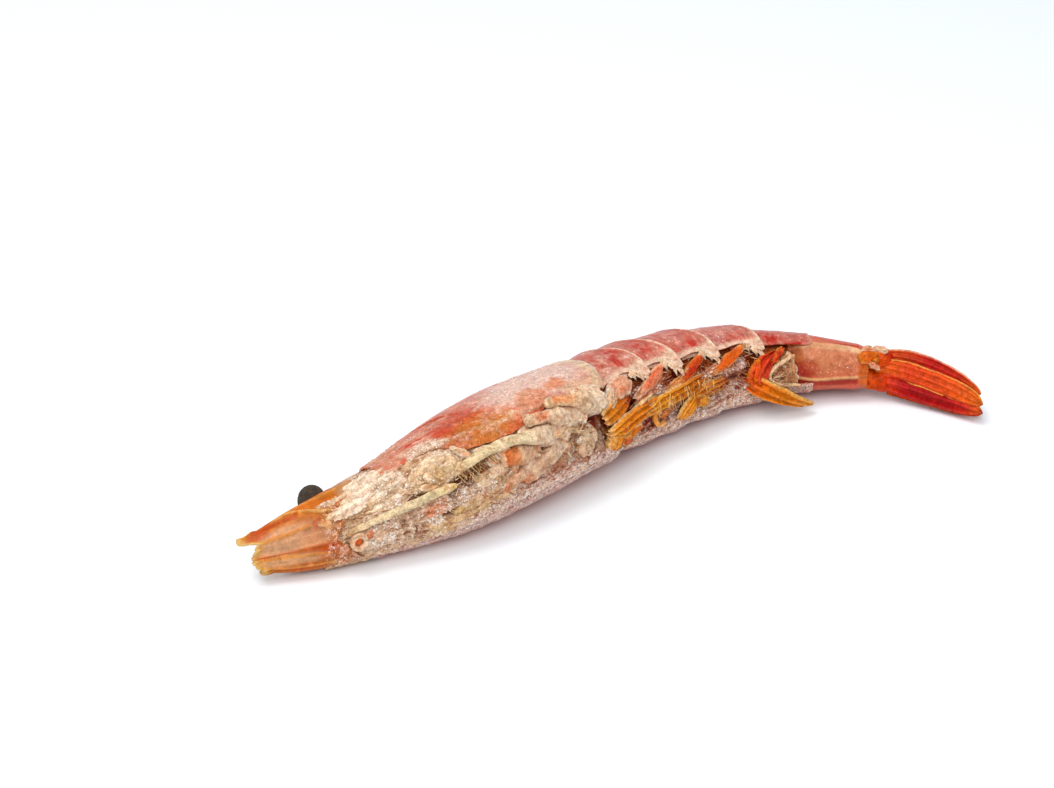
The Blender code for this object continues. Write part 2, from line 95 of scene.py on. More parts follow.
PLATE_TIP = (
    (72, 1.6), (90, 0.8), (100, -0.9), (113, -1.5), (125, -1.5), (134, -1), (140, 0.8), (147, 2.3),
    (156, 2.5), (166, 2.1), (190, 1.4), (232, 3.2), (292, 3.4),
)
COVERED_RISE = ((18, -1.2), (24, -0.6), (34, -0.45), (77, -0.45), (83, -2.4), (143, -2.0))
BARE_RISE = (
    (15, -1.3), (18, -0.6), (22, -0.4), (28, -0.1), (36, -0.1), (42, -0.4), (50, -1.3), (60, -2),
    (76, -2.7), (81, -3.7), (87, -3.2), (94, -2.2), (125, -2), (136, -1.7), (143, -1.5),
)


def smooth(table, x):
    """Values of a table at x, along a smooth curve through its rows."""
    xs = np.array([row[0] for row in table], float)
    ys = np.array([row[1] for row in table], float)
    slopes = np.gradient(ys, xs)
    x = np.asarray(x, float)
    i = np.clip(np.searchsorted(xs, x) - 1, 0, len(xs) - 2)
    h = xs[i + 1] - xs[i]
    t = np.clip((x - xs[i]) / h, 0, 1)
    start = (2 * t**3 - 3 * t**2 + 1) * ys[i] + (t**3 - 2 * t**2 + t) * h * slopes[i]
    end = (3 * t**2 - 2 * t**3) * ys[i + 1] + (t**3 - t**2) * h * slopes[i + 1]
    return start + end


def body_line():
    pace = 0.5
    stations = np.arange(-LEAD, LENGTH + pace / 2, pace)
    angles = np.radians(smooth(HEADING, stations))
    x = START[0] + np.concatenate([[0], np.cumsum(np.cos(angles[:-1]) * pace)])
    y = START[1] + np.concatenate([[0], np.cumsum(np.sin(angles[:-1]) * pace)])
    return stations, x, y, angles


LINE = body_line()


def xyz(x, y=0.0, z=0.0):
    """Points from their three coordinates, each a grid or one number."""
    return np.stack(np.broadcast_arrays(x, y, z), -1)


def round_angles(count):
    return np.linspace(0, 2 * math.pi, count, endpoint=False)


def sections(s):
    """Middles of the sections at s, and their directions along, to the left and to the back."""
    stations, x, y, angles = LINE
    s = np.asarray(s, float)
    heading = np.interp(s, stations, angles)
    middle = xyz(np.interp(s, stations, x), np.interp(s, stations, y), smooth(HEIGHT, s))
    along = xyz(np.cos(heading), np.sin(heading))
    away = xyz(-np.sin(heading), np.cos(heading))
    up = xyz(0 * heading, 0.0, 1.0)
    roll = np.radians(smooth(ROLL, s))[..., None]
    left = up * np.cos(roll) - away * np.sin(roll)
    back = away * np.cos(roll) + up * np.sin(roll)
    return middle, along, left, back


def skin(s, phi, rise=0.0):
    """Points of the body's surface, or rise millimetres outside it, flat where it lies on the table."""
    s, phi, rise = np.broadcast_arrays(*(np.asarray(v, float) for v in (s, phi, rise)))
    middle, _, left, back = sections(s)
    c, n = np.cos(np.radians(phi)), np.sin(np.radians(phi))
    k = (np.abs(c) ** ROUNDNESS + np.abs(n) ** ROUNDNESS) ** (-1 / ROUNDNESS)
    depth = np.where(c > 0, smooth(BACK, s), smooth(BELLY, s)) + rise
    width = smooth(HALF_WIDTH, s) + rise
    point = middle + back * (c * k * depth)[..., None] + left * (n * k * width)[..., None]
    point[..., 2] = np.maximum(point[..., 2], OVERLAP_RISE - rise)
    return point


def local(s, to_left, to_back):
    """Points of the sections at s by their distances to the left and to the back of the middle."""
    middle, _, left, back = sections(s)
    return middle + left * np.asarray(to_left)[..., None] + back * np.asarray(to_back)[..., None]


# ---------- noise and painting


def hashed(x, y, z, seed):
    """Random numbers from 0 to 1, one for each whole-numbered place."""
    h = x * 73856093 ^ y * 19349663 ^ z * 83492791 ^ np.int64(seed * 40503 + 977)
    h = (h ^ (h >> 13)) * np.int64(1274126177)
    h = (h ^ (h >> 16)) & 0xFFFFFF
    return h / float(0xFFFFFF)


def noise(p, size, seed=0):
    """Soft noise from -1 to 1 at points p, in lumps of about this size."""
    q = np.asarray(p, float) / size
    base = np.floor(q).astype(np.int64)
    f = q - base
    f = f * f * (3 - 2 * f)
    total = 0.0
    for corner in np.ndindex(2, 2, 2):
        weight = 1.0
        for axis in range(3):
            weight = weight * (f[..., axis] if corner[axis] else 1 - f[..., axis])
        cell = [base[..., axis] + corner[axis] for axis in range(3)]
        total = total + weight * hashed(*cell, seed)
    return 2 * total - 1


def layered(p, size, seed=0, layers=3):
    """Noise with finer noise on top, from about -1 to 1."""
    total, most = 0.0, 0.0
    for i in range(layers):
        total = total + noise(p, size / 2**i, seed + 31 * i) / 1.7**i
        most += 1 / 1.7**i
    return total / most * 1.35


def grains(p, size, seed=0):
    """How far inside a grain each point is: 1 at a grain's middle, 0 at the joins between grains."""
    q = np.asarray(p, float) / size
    base = np.floor(q).astype(np.int64)
    near = np.full(q.shape[:-1], 9.0)
    for corner in np.ndindex(3, 3, 3):
        cell = [base[..., axis] + corner[axis] - 1 for axis in range(3)]
        far = 0.0
        for axis in range(3):
            grain = cell[axis] + 0.15 + 0.7 * hashed(*cell, seed + axis)
            far = far + (q[..., axis] - grain) ** 2
        near = np.minimum(near, far)
    return np.clip(1 - np.sqrt(near) / 0.85, 0, 1)


def step(low, high, x):
    """A soft step from 0 at low to 1 at high."""
    t = np.clip((x - low) / (high - low), 0, 1)
    return t * t * (3 - 2 * t)


def rgb(red, green, blue):
    """A colour as linear light, deepened and warmed because ice and gloss will pale it."""
    c = np.array([red, green, blue], float) / 255
    c = np.where(c <= 0.04045, c / 12.92, ((c + 0.055) / 1.055) ** 2.4)
    grey = c @ np.array([0.3, 0.59, 0.11])
    return np.clip((grey + (c - grey) * DEPTH_OF_COLOUR) * WARMTH, 0.004, 1.0)


def outward_at(s, phi):
    """Directions out of the skin, not of one length."""
    return skin(s, phi, 3.0) - skin(s, phi, -3.0)


def creased(p, size, seed, layers, depth):
    """Noise with sharp ridges: 0.5 along the ridges and lower between them."""
    return 0.5 - np.abs(layered(p, size, seed, layers)) * depth


def blended(low, high, share):
    return low + (high - low) * share[..., None]


def stops(rows, x):
    """A colour ramp: rows of (place, colour)."""
    places = [row[0] for row in rows]
    values = np.array([rgb(*row[1]) for row in rows])
    return np.stack([np.interp(x, places, values[:, i]) for i in range(3)], -1)


def mm_per_degree(s):
    return float(smooth(HALF_WIDTH, s)) * math.pi / 180


def spot(s, phi, length, width, colour, share=1.0, height=0.0, frost=None, turn=0.0, edge=0.4):
    """An oval mark, length along the body and width round it in millimetres, turned by degrees."""

    def cover(at_s, at_phi):
        x = at_s - s
        y = (at_phi - phi) * mm_per_degree(s)
        c, n = math.cos(math.radians(turn)), math.sin(math.radians(turn))
        far = np.hypot((x * c + y * n) / (length / 2), (-x * n + y * c) / (width / 2))
        return step(1 + edge, 1 - edge, far)

    return cover, colour, share, height, frost


def streak(path, width, colour, share=1.0, height=0.0, frost=None, edge=0.6):
    """A mark along a path of (s, phi), width in millimetres."""

    def cover(at_s, at_phi):
        near = np.full(np.shape(at_s), 99.0)
        for (s0, phi0), (s1, phi1) in zip(path, path[1:]):
            k = mm_per_degree((s0 + s1) / 2)
            ex, ey = s1 - s0, (phi1 - phi0) * k
            x, y = at_s - s0, (at_phi - phi0) * k
            t = np.clip((x * ex + y * ey) / (ex * ex + ey * ey + 1e-9), 0, 1)
            near = np.minimum(near, np.hypot(x - t * ex, y - t * ey))
        return step((1 + edge) * width / 2, (1 - edge) * width / 2, near)

    return cover, colour, share, height, frost


def coated(colour, *coats):
    """The colour under coats of paint, each a colour and how much of it covers."""
    for tone, share in coats:
        colour = blended(colour, rgb(*tone), share)
    return colour


def stained(colour, tint, share):
    """The colour multiplied by a tint, by a share."""
    return blended(colour, colour * np.array(tint), share)


def banded(tones, t, columns):
    """Colours of rings of this many points, from a colour ramp along t."""
    return np.repeat(stops(tones, t)[:, None], columns, 1)


def painted(s, phi, base, marks, seed=0, wander=0.7, frost=0.0):
    """Colour, height and frost at (s, phi) under the given marks, whose edges wander a little."""
    p = xyz(s, phi * 0.2)
    at_s = s + wander * layered(p, 2.6, seed + 5)
    at_phi = phi + wander * 5.0 * layered(p, 2.6, seed + 77)
    colour = np.zeros(s.shape + (3,)) + base
    height = np.zeros(s.shape)
    frosted = np.zeros(s.shape) + frost
    for cover, tone, share, rise, ice in marks:
        m = cover(at_s, at_phi)
        if tone is not None:
            colour = blended(colour, rgb(*tone), m * share)
        height = height + m * rise
        if ice is not None:
            frosted = frosted + (ice - frosted) * m
    return colour, height, frosted


# ---------- meshes


def placed(name, data):
    """A new object in the scene."""
    obj = bpy.data.objects.new(name, data)
    bpy.context.scene.collection.objects.link(obj)
    return obj


def store(mesh, name, kind, field, values):
    """Values at the points of a mesh, under a name by which a look or a tree reads them."""
    mesh.attributes.new(name, kind, "POINT").data.foreach_set(field, np.ravel(values))


def with_alpha(colours):
    return np.concatenate([colours, np.ones((len(colours), 1))], 1)


def ring_quads(rows, columns):
    """Corner numbers of the quads between closed rings of points."""
    start = np.arange(rows - 1)[:, None] * columns
    a = (start + np.arange(columns)).ravel()
    b = (start + np.roll(np.arange(columns), -1)).ravel()
    return np.stack([a, b, b + columns, a + columns], -1)


class Piece:
    """Gathers closed surfaces with the paint and frost of each point, and makes one mesh of them."""

    def __init__(self):
        self.points, self.quads, self.corners = [], [], []
        self.paint, self.frost, self.count = [], [], 0

    def add(self, points, quads, corners, paint, frost):
        volume = 0.0
        for ring in (quads[:, [0, 1, 2]], quads[:, [0, 2, 3]], corners):
            a, b, c = (points[ring[:, i]] for i in range(3))
            volume += np.einsum("ij,ij->", a, np.cross(b, c))
        if volume < 0:
            quads, corners = quads[:, ::-1], corners[:, ::-1]
        self.points.append(points)
        self.quads.append(quads + self.count)
        self.corners.append(corners + self.count)
        self.paint.append(np.clip(paint, 0.0, 1.0))
        self.frost.append(np.clip(frost, 0.0, 1.0))
        self.count += len(points)

    def tube(self, rings, paint, frost):
        """A closed surface through rings of points, with a point in the middle of each end."""
        rows, columns = rings.shape[:2]
        first, last = rows * columns, rows * columns + 1
        j, k = np.arange(columns), np.roll(np.arange(columns), -1)
        end = (rows - 1) * columns
        corners = np.concatenate([
            np.stack([np.full(columns, first), k, j], -1),
            np.stack([np.full(columns, last), end + j, end + k], -1),
        ])
        points = np.concatenate([rings.reshape(-1, 3), [rings[0].mean(0), rings[-1].mean(0)]])
        paint = np.concatenate([paint.reshape(-1, 3), [paint[0].mean(0), paint[-1].mean(0)]])
        frost = np.concatenate([frost.ravel(), [frost[0].mean(), frost[-1].mean()]])
        self.add(points, ring_quads(rows, columns), corners, paint, frost)

    def sheet(self, top, under, paint, frost, under_paint=None):
        """A plate between an upper and a lower grid of points, closed round its edges."""
        rows, columns = top.shape[:2]
        rings = np.concatenate([top, under[:, ::-1]], 1)
        under_paint = paint if under_paint is None else under_paint
        tones = np.concatenate([paint, under_paint[:, ::-1]], 1)
        ice = np.concatenate([frost, 0.3 * frost[:, ::-1]], 1)
        wide = 2 * columns
        end = (rows - 1) * wide
        j = np.arange(columns - 1)
        near_side = np.stack([wide - 1 - j, wide - 2 - j, j + 1, j], -1)
        far_side = end + np.stack([j, j + 1, wide - 2 - j, wide - 1 - j], -1)
        quads = np.concatenate([ring_quads(rows, wide), near_side, far_side])
        self.add(rings.reshape(-1, 3), quads, np.zeros((0, 3), int), tones.reshape(-1, 3), ice.ravel())

    def finish(self, name, look, slot, *nodes):
        points = np.clip(np.concatenate(self.points), BOX_LOW, BOX_HIGH) * MM
        faces = np.concatenate(self.quads).tolist() + np.concatenate(self.corners).tolist()
        mesh = bpy.data.meshes.new(name)
        mesh.from_pydata(points.tolist(), [], faces)
        store(mesh, "paint", "FLOAT_COLOR", "color", with_alpha(np.concatenate(self.paint)))
        store(mesh, "frost", "FLOAT", "value", np.concatenate(self.frost))
        mesh.polygons.foreach_set("use_smooth", np.ones(len(faces), bool))
        mesh.update()
        mesh.materials.append(look)
        obj = placed(name, mesh)
        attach(obj, "root")
        if nodes:
            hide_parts(*nodes)
        return obj


def curve_through(points, values, count):
    """A smooth curve through rows of points, and the rows of values at its steps."""
    points = np.asarray(points, float)
    values = np.asarray(values, float)
    steps = np.linspace(0, len(points) - 1, count)
    rows = np.arange(len(points))
    place = np.stack([smooth(np.stack([rows, points[:, i]], -1), steps) for i in range(3)], -1)
    value = np.stack([smooth(np.stack([rows, values[:, i]], -1), steps) for i in range(values.shape[1])], -1)
    return place, value, steps / (len(points) - 1)


def directions(place, outward):
    """Directions along a curve, across it, and outward from the body."""
    ahead = np.gradient(place, axis=0)
    ahead /= np.linalg.norm(ahead, axis=1)[:, None]
    outward = outward - ahead * np.einsum("ij,ij->i", ahead, outward)[:, None]
    outward /= np.linalg.norm(outward, axis=1)[:, None]
    return ahead, np.cross(ahead, outward), outward


def build(name, look, slot, forms, *nodes):
    """A piece of several forms, each a maker and what it is given, with named settings in a last dict."""
    piece = Piece()
    for make, *given in forms:
        named = given.pop() if isinstance(given[-1], dict) else {}
        make(piece, *given, **named)
    piece.finish(name, look, slot, *nodes)


def limb_path(path, count, lift=1.15):
    """The curve of a limb from rows of (s, phi, rise, size...), kept above the table."""
    path = np.asarray(path, float)
    points = skin(path[:, 0], path[:, 1], path[:, 2])
    points[:, 2] = np.maximum(points[:, 2], path[:, 3] * lift + 0.1)
    out = outward_at(path[:, 0], path[:, 1])
    place, rest, t = curve_through(points, np.concatenate([out, path[:, 3:]], 1), count)
    ahead, across, outward = directions(place, rest[:, :3])
    return place, across, outward, rest[:, 3:], t


def rod(piece, path, tones, flat, stripe, rims, rough, frost, seed, count, sides):
    """A jointed limb: tones is a colour ramp along it, stripe a colour down its outer face.

    Each rim is a swelling: how far along, how wide, and its share of the limb's thickness.
    """
    place, across, outward, size, t = limb_path(path, count)
    wander = np.stack([layered(xyz(t * 6, k, seed), 1.0, seed + 2) for k in range(3)], -1)
    place = place + 0.16 * wander * np.clip(size[:, :1], 0.4, 1.4)
    radius = size[:, 0] * 0.86
    for middle, width, gain in rims:
        radius = radius * (1 + gain * np.exp(-(((t - middle) / width) ** 2)))
    radius = radius * (step(0.0, 0.06, t) * 0.35 + 0.65)
    radius = radius * np.sqrt(np.clip(1 - ((t - 0.93) / 0.075).clip(0, 0.97) ** 2, 0.05, 1))
    a = round_angles(sides)
    boxy = (np.abs(np.cos(a)) ** 3 + np.abs(np.sin(a)) ** 3) ** (-1 / 3)
    c, n = (boxy * np.cos(a))[None, :, None], (boxy * np.sin(a))[None, :, None]
    rings = place[:, None] + radius[:, None, None] * (across[:, None] * c + outward[:, None] * n * flat)
    out = across[:, None] * c + outward[:, None] * n
    bumps = 0.5 * layered(rings, 1.8, seed) + 0.6 * creased(rings, 1.4, seed, 3, 1.6)
    rings = rings + out * (rough * bumps)[..., None]
    tone = banded(tones, t, sides)
    facing = np.sin(a)[None] + 0.25 * layered(rings, 1.2, seed + 8)
    if stripe is not None:
        colour, start, stop = stripe
        length = step(start, start + 0.10, t) * step(stop, stop - 0.08, t)
        share = step(0.3, 0.95, facing) * length[:, None]
        tone = coated(tone, (colour, share * (0.62 + 0.45 * layered(rings, 1.0, seed + 9))))
        rings = rings - out * (0.14 * share)[..., None]
    for middle, width, gain in rims:
        share = np.exp(-(((t - middle) / (0.6 * width)) ** 2))[:, None] * np.ones(sides)
        tone = coated(tone, ((240, 224, 204), 0.7 * share))
    mottle = layered(rings, 1.6, seed + 20)
    tone = tone * (1 + 0.16 * mottle)[..., None]
    # Painted shade: darker in the creases between the bumps and on the side of the limb that faces the body.
    painted_shade = step(0.05, -0.45, bumps) * 0.7 + step(-0.2, -0.8, np.sin(a))[None] * 0.35
    tone = stained(tone, (0.60, 0.42, 0.28), np.clip(painted_shade, 0, 1))
    piece.tube(rings, tone, frost * (0.6 + 0.6 * step(-0.4, 0.6, mottle)))


def lump(piece, s, phi, rise, length, width, height, base, edge, turn, rough, frost, seed, tint):
    """A crumpled lump on the body: length along it, width round it and height out of it."""
    rows, sides = 36, 54
    middle = skin(s, phi, rise)
    out = outward_at(s, phi)
    out = out / np.linalg.norm(out)
    along = sections(s)[1]
    across = np.cross(out, along)
    across /= np.linalg.norm(across)
    c, n = math.cos(math.radians(turn)), math.sin(math.radians(turn))
    ahead, side = along * c + across * n, across * c - along * n
    v = np.linspace(0.02, math.pi - 0.02, rows)[:, None]
    a = round_angles(sides)[None]
    x, y, z = np.sin(v) * np.cos(a), np.sin(v) * np.sin(a), np.cos(v) * np.ones_like(a)
    spread = 1 + 0.22 * layered(xyz(2 * np.cos(a), 2 * np.sin(a), seed), 1.0, seed + 50)
    x, y = x * spread, y * spread
    flat = np.abs(z) ** 0.75 * np.sign(z)
    way = x[..., None] * ahead + y[..., None] * side + z[..., None] * out
    wide, high = y[..., None] * side * width / 2, flat[..., None] * out * height
    points = middle + (x[..., None] * ahead * length / 2 + wide + high)
    bend = np.stack([layered(points, 2.4, seed + 3 + k) for k in range(3)], -1)
    own = xyz(x * length * 0.2, y * width * 0.5, flat * height + seed) + 0.9 * bend
    bumps = 0.5 * layered(points, 1.6, seed, 4) + 0.7 * creased(own, 1.5, seed + 7, 4, 1.7)
    points = points + way * (rough * bumps)[..., None]
    mottle = layered(points, 1.9, seed + 20)
    tone = np.zeros(points.shape) + rgb(*base)
    tone = coated(tone, (tint, step(-0.05, 0.45, mottle) * 0.85))
    if edge is not None:
        tone = coated(tone, (edge, step(0.72, 0.92, np.hypot(x, y) + 0.10 * mottle)))
    tone = tone * (1 + 0.14 * layered(points, 1.1, seed + 40))[..., None]
    # Painted shade in the creases between the bumps, then white frost on the crests, which is partly a
    # painted highlight.
    tone = stained(tone, (0.56, 0.38, 0.26), step(-0.05, -0.55, bumps) * min(0.75, 2.4 * rough))
    tone = coated(tone, ((252, 244, 234), step(0.25, 0.6, bumps) * 0.45 * frost))
    points[..., 2] = np.maximum(points[..., 2], 0.05)
    piece.tube(points, tone, frost * (0.7 + 0.5 * mottle))


def leaf(
    piece, place, across, outward, half_width, t, tones, rim, seed, arch=0.5, folds=2.0, ridge=0.2,
    thickness=0.5,
    rim_share=0.16, ragged=0.6, frost=0.1, columns=34, streaks=0.4, crumple=0.05,
):
    """A thin folded blade along a curve; tones is a colour ramp along it and rim its edge colour."""
    q = np.linspace(-1, 1, columns)[None]
    p = xyz(t[:, None] * 9.0, q * 2.2, 3.7 * seed)
    wave = layered(p, 1.3, seed)
    fringe = 1 + ragged * 0.14 * layered(xyz(t * 14, 0.0, seed), 1.0, seed + 2)
    w = (half_width * fringe)[:, None]
    folding = np.cos(folds * math.pi * q + 0.5 * wave)
    lift = (arch * (1 - q**2) + ridge * folding * (1 - q**8)) * np.minimum(1, w / 1.2) + 0.12 * wave
    middle = place[:, None] + across[:, None] * (q * w)[..., None]
    creases = creased(middle, 2.4, seed + 12, 4, 1.8)
    lift = lift + crumple * creases
    notches = 0.9 * layered(p * np.array([0.0, 1.6, 1.0]), 0.9, seed + 4)
    tip = step(0.86, 1.0, t)[:, None] * ragged * notches
    middle = middle + np.cross(outward, across)[:, None] * tip[..., None]
    top = middle + outward[:, None] * lift[..., None]
    thin = thickness * np.sqrt(np.clip(1 - q**6, 0.06, 1)) * (1 - 0.5 * step(0.9, 1.0, t))[:, None]
    under = middle + outward[:, None] * (lift - thin)[..., None]
    tone = banded(tones, t, columns)
    fine = layered(xyz(t[:, None] * 3.0, q * 8.0, seed * 1.3), 0.8, seed + 9)
    tone = tone * (1 + streaks * 0.5 * fine)[..., None]
    # Painted highlight on the raised tops of the folds, and painted shade in the creases.
    tone = blended(tone, np.minimum(tone * 1.5 + 0.03, 1.0), step(0.3, 1.0, folding) * 0.35)
    tone = stained(tone, (0.6, 0.42, 0.3), step(0.05, -0.6, creases) * min(1.0, 2.2 * crumple))
    near = np.abs(q) + 0.06 * wave
    tone = coated(tone, (rim, step(1 - 1.6 * rim_share, 1 - 0.5 * rim_share, near) * 0.85))
    top[..., 2] = np.maximum(top[..., 2], 0.25)
    under[..., 2] = np.maximum(under[..., 2], 0.05)
    piece.sheet(top, under, tone, frost * (0.5 + 0.7 * step(-0.5, 0.7, wave)))


def skin_leaf(piece, path, tones, rim, seed, count=84, **finish):
    """A blade over the skin along rows of (s, phi, rise, half width)."""
    place, across, outward, size, t = limb_path(path, count, 0.4)
    leaf(piece, place, across, outward, size[:, 0], t, tones, rim, seed, **finish)


# ---------- shader sums


class Value:
    """A number that a surface works out at each spot, for use in ordinary sums."""

    def __init__(self, board, socket):
        self.board = board
        self.socket = socket

    def __add__(self, other):
        return self.board.sum("ADD", self, other)

    __radd__ = __add__

    def __mul__(self, other):
        return self.board.sum("MULTIPLY", self, other)

    __rmul__ = __mul__

    def __sub__(self, other):
        return self.board.sum("SUBTRACT", self, other)

    def __rsub__(self, other):
        return self.board.sum("SUBTRACT", other, self)


class Board:
    """The nodes of one material."""

    def __init__(self, name):
        self.material = bpy.data.materials.new(name)
        self.material.use_nodes = True
        self.tree = self.material.node_tree
        self.shader = self.tree.nodes["Principled BSDF"]

    def make(self, kind, settings, values, out=0):
        """A node of a kind: its settings first, then numbers or links for its sockets."""
        node = self.tree.nodes.new(kind)
        for name, value in settings.items():
            setattr(node, name, value)
        self.feed(node, values)
        return Value(self, node.outputs[out])

    def feed(self, node, values):
        """Numbers or links for sockets of a node, by name or number."""
        for name, value in values.items():
            if isinstance(value, Value):
                self.tree.links.new(value.socket, node.inputs[name])
            else:
                node.inputs[name].default_value = value

    def finish(self, values):
        """The material, once its surface has its numbers and links."""
        self.feed(self.shader, values)
        return self.material

    def sum(self, operation, a, b):
        return self.make("ShaderNodeMath", {"operation": operation}, {0: a, 1: b})

    def mix(self, share, a, b, blend="MIX"):
        settings = {"data_type": "RGBA", "blend_type": blend}
        return self.make("ShaderNodeMix", settings, {0: share, 6: a, 7: b}, 2)

    def shaded(self, colour, gain):
        """A colour made darker or lighter by a number."""
        grey = self.make("ShaderNodeCombineColor", {}, {0: gain, 1: gain, 2: gain})
        return self.mix(1.0, colour, grey, "MULTIPLY")

    def tinted(self, colour, tint):
        return self.mix(1.0, colour, (*tint, 1.0), "MULTIPLY")

    def grow(self, x, low, high, start=0.0, end=1.0):
        """x turned into a soft step from start to end between low and high."""
        values = {"Value": x, "From Min": low, "From Max": high, "To Min": start, "To Max": end}
        return self.make("ShaderNodeMapRange", {"interpolation_type": "SMOOTHSTEP"}, values)

    def place(self):
        """Where on the object a spot is, in metres."""
        return self.make("ShaderNodeTexCoord", {}, {}, 3)

    def stored_on_mesh(self, name, out):
        return self.make("ShaderNodeAttribute", {"attribute_name": name}, {}, out)

    def cells(self, place, scale, out=0, feature="F1"):
        return self.make("ShaderNodeTexVoronoi", {"feature": feature}, {"Vector": place, "Scale": scale}, out)

    def relief(self, distance, height):
        """Fine relief of a depth in metres, for the socket that takes the direction of the surface."""
        return self.make("ShaderNodeBump", {}, {"Strength": 0.9, "Distance": distance, "Height": height})


def surface(name, roughness, coat, sheer, grain, bump, frost_share, speckle, contrast=1.0, shine=0.15):
    """A moist frozen surface: painted colour, mottling that follows the fine relief as painted light and
    shade, painted shade in creases, pigment dots, ice grains and fine relief.

    grain is the size of the mottling and bump the depth of the relief, both in millimetres, and sheer
    how much light goes in.
    """
    board = Board(name)
    place = board.place()
    paint = board.stored_on_mesh("paint", 0)
    frost = board.stored_on_mesh("frost", 2)
    per_metre = 1000.0 / grain
    ice_per_metre = 1000.0 / 0.55

    def cloud(scale, detail=3.0):
        values = {"Vector": place, "Scale": scale, "Detail": detail, "Roughness": 0.6}
        return board.make("ShaderNodeTexNoise", {"noise_dimensions": "3D"}, values)

    coarse = cloud(per_metre * 0.35)
    middle = cloud(per_metre)
    fine = cloud(per_metre * 3.0, 2.0)
    dots = board.cells(place, per_metre * 2.2)
    cell_colour = board.cells(place, ice_per_metre, 1)
    cell = board.make("ShaderNodeSeparateColor", {}, {"Color": cell_colour})
    joins = board.cells(place, ice_per_metre, 0, "DISTANCE_TO_EDGE")
    # Painted light and shade: the colour is lighter on the rises of the fine relief below and darker in its
    # dips, as both follow the same noise.
    shade = board.grow(middle * 0.6 + fine * 0.4, 0.3, 0.7, 1 - 0.42 * contrast, 1 + 0.36 * contrast)
    colour = board.shaded(paint, shade)
    dotted = board.grow(dots, 0.32, 0.10) * board.grow(coarse, 0.40, 0.6) * speckle
    colour = board.mix(dotted, colour, board.tinted(colour, (1.0, 0.42, 0.30)))
    # Painted shade in the creases: darker where the noise is low.
    creases = board.grow(coarse * 0.5 + fine * 0.5, 0.43, 0.34) * 0.5 * contrast
    colour = board.mix(creases, colour, board.tinted(colour, (0.60, 0.34, 0.22)))
    icy = board.grow(frost * 0.9 + (middle - 0.5) * 1.6, 0.25, 0.9)
    # Ice grains of random brightness, with painted shade in the grooves between them.
    grainy = board.grow(cell, 0.0, 1.0, 0.62, 1.42) * board.grow(joins, 0.0, 0.10, 0.62, 1.0)
    colour = board.mix(icy, colour, board.shaded(colour, grainy))
    film = icy * board.grow(cell + (fine - 0.5) * 0.8, 0.42, 0.92) * frost_share
    rough = roughness + film * 0.25 + (middle - 0.5) * 0.3
    height = middle * 0.45 + fine * 0.35 + (cell * 0.25 + joins * 0.6) * icy
    return board.finish({
        "Base Color": board.mix(film, colour, (0.86, 0.76, 0.70, 1.0)),
        "Roughness": board.make("ShaderNodeClamp", {}, {0: rough, 1: 0.08, 2: 0.95}),
        "Normal": board.relief(bump * MM, height),
        "Coat Weight": coat,
        "Coat Roughness": 0.14,
        "Coat IOR": 1.4,
        "Subsurface Weight": sheer,
        "Subsurface Radius": (1.0, 0.45, 0.3),
        "Subsurface Scale": 0.0009,
        "Specular IOR Level": shine,
    })


# roughness, coat, sheer, grain, bump, share of frost, dots, contrast and shine of each
SHELL_LOOK = surface("thin_red_shell_with_ice_film", 0.34, 0.08, 0.12, 1.3, 0.30, 0.45, 0.9, 0.9)
FLESH_LOOK = surface("frosted_mouth_parts", 0.50, 0.0, 0.15, 0.9, 0.60, 0.60, 0.2, 1.15)
MEAT_LOOK = surface("raw_frozen_meat", 0.34, 0.08, 0.2, 1.0, 0.40, 0.40, 0.4, 1.0)
SMOOTH_MEAT_LOOK = surface("smooth_frozen_meat", 0.38, 0.06, 0.2, 1.8, 0.22, 0.30, 0.05, 0.45)
LIMB_LOOK = surface("pale_limb_shell", 0.42, 0.04, 0.15, 1.0, 0.36, 0.42, 0.2, 1.05)
AMBER_LOOK = surface("amber_limb_blade", 0.34, 0.08, 0.15, 0.8, 0.35, 0.30, 0.35, 1.1, 0.08)
TAIL_LOOK = surface("glossy_tail_blade", 0.25, 0.03, 0.1, 1.3, 0.20, 0.15, 0.3, 0.9, 0.05)
SCALE_LOOK = surface("amber_head_plate", 0.25, 0.08, 0.15, 1.8, 0.16, 0.3, 0.0, 0.55, 0.10)


def eye_look():
    board = Board("dull_black_eye")
    place = board.place()
    facets = board.cells(place, 5200.0)
    values = {"Vector": place, "Scale": 1100.0, "Detail": 4.0, "Distortion": 1.5}
    cloud = board.make("ShaderNodeTexNoise", {}, values)
    dark = board.mix(board.grow(cloud, 0.35, 0.7), (0.014, 0.009, 0.006, 1.0), (0.075, 0.050, 0.032, 1.0))
    return board.finish({
        "Base Color": board.mix(board.grow(facets, 0.2, 0.5) * 0.3, dark, (0.12, 0.085, 0.06, 1.0)),
        "Roughness": 0.48 + cloud * 0.25,
        "Normal": board.relief(0.0003, facets * -0.5 + cloud * 1.5),
        "Specular IOR Level": 0.15,
    })


def ice_look():
    board = Board("ice_crystals")
    place = board.place()
    paint = board.stored_on_mesh("paint", 0)
    cloud = board.make("ShaderNodeTexNoise", {}, {"Vector": place, "Scale": 900.0, "Detail": 2.0})
    return board.finish({
        "Base Color": board.mix(board.grow(cloud, 0.38, 0.66, 0.05, 0.8), paint, (0.96, 0.87, 0.80, 1.0)),
        "Roughness": board.grow(cloud, 0.3, 0.7, 0.35, 0.12),
        "Subsurface Weight": 0.4,
        "Subsurface Radius": (1.0, 0.8, 0.7),
        "Subsurface Scale": 0.0003,
        "IOR": 1.31,
    })


EYE_LOOK = eye_look()
ICE_LOOK = ice_look()

CREAM = (248, 240, 230)
WHITE = (250, 246, 242)


# ---------- head shell

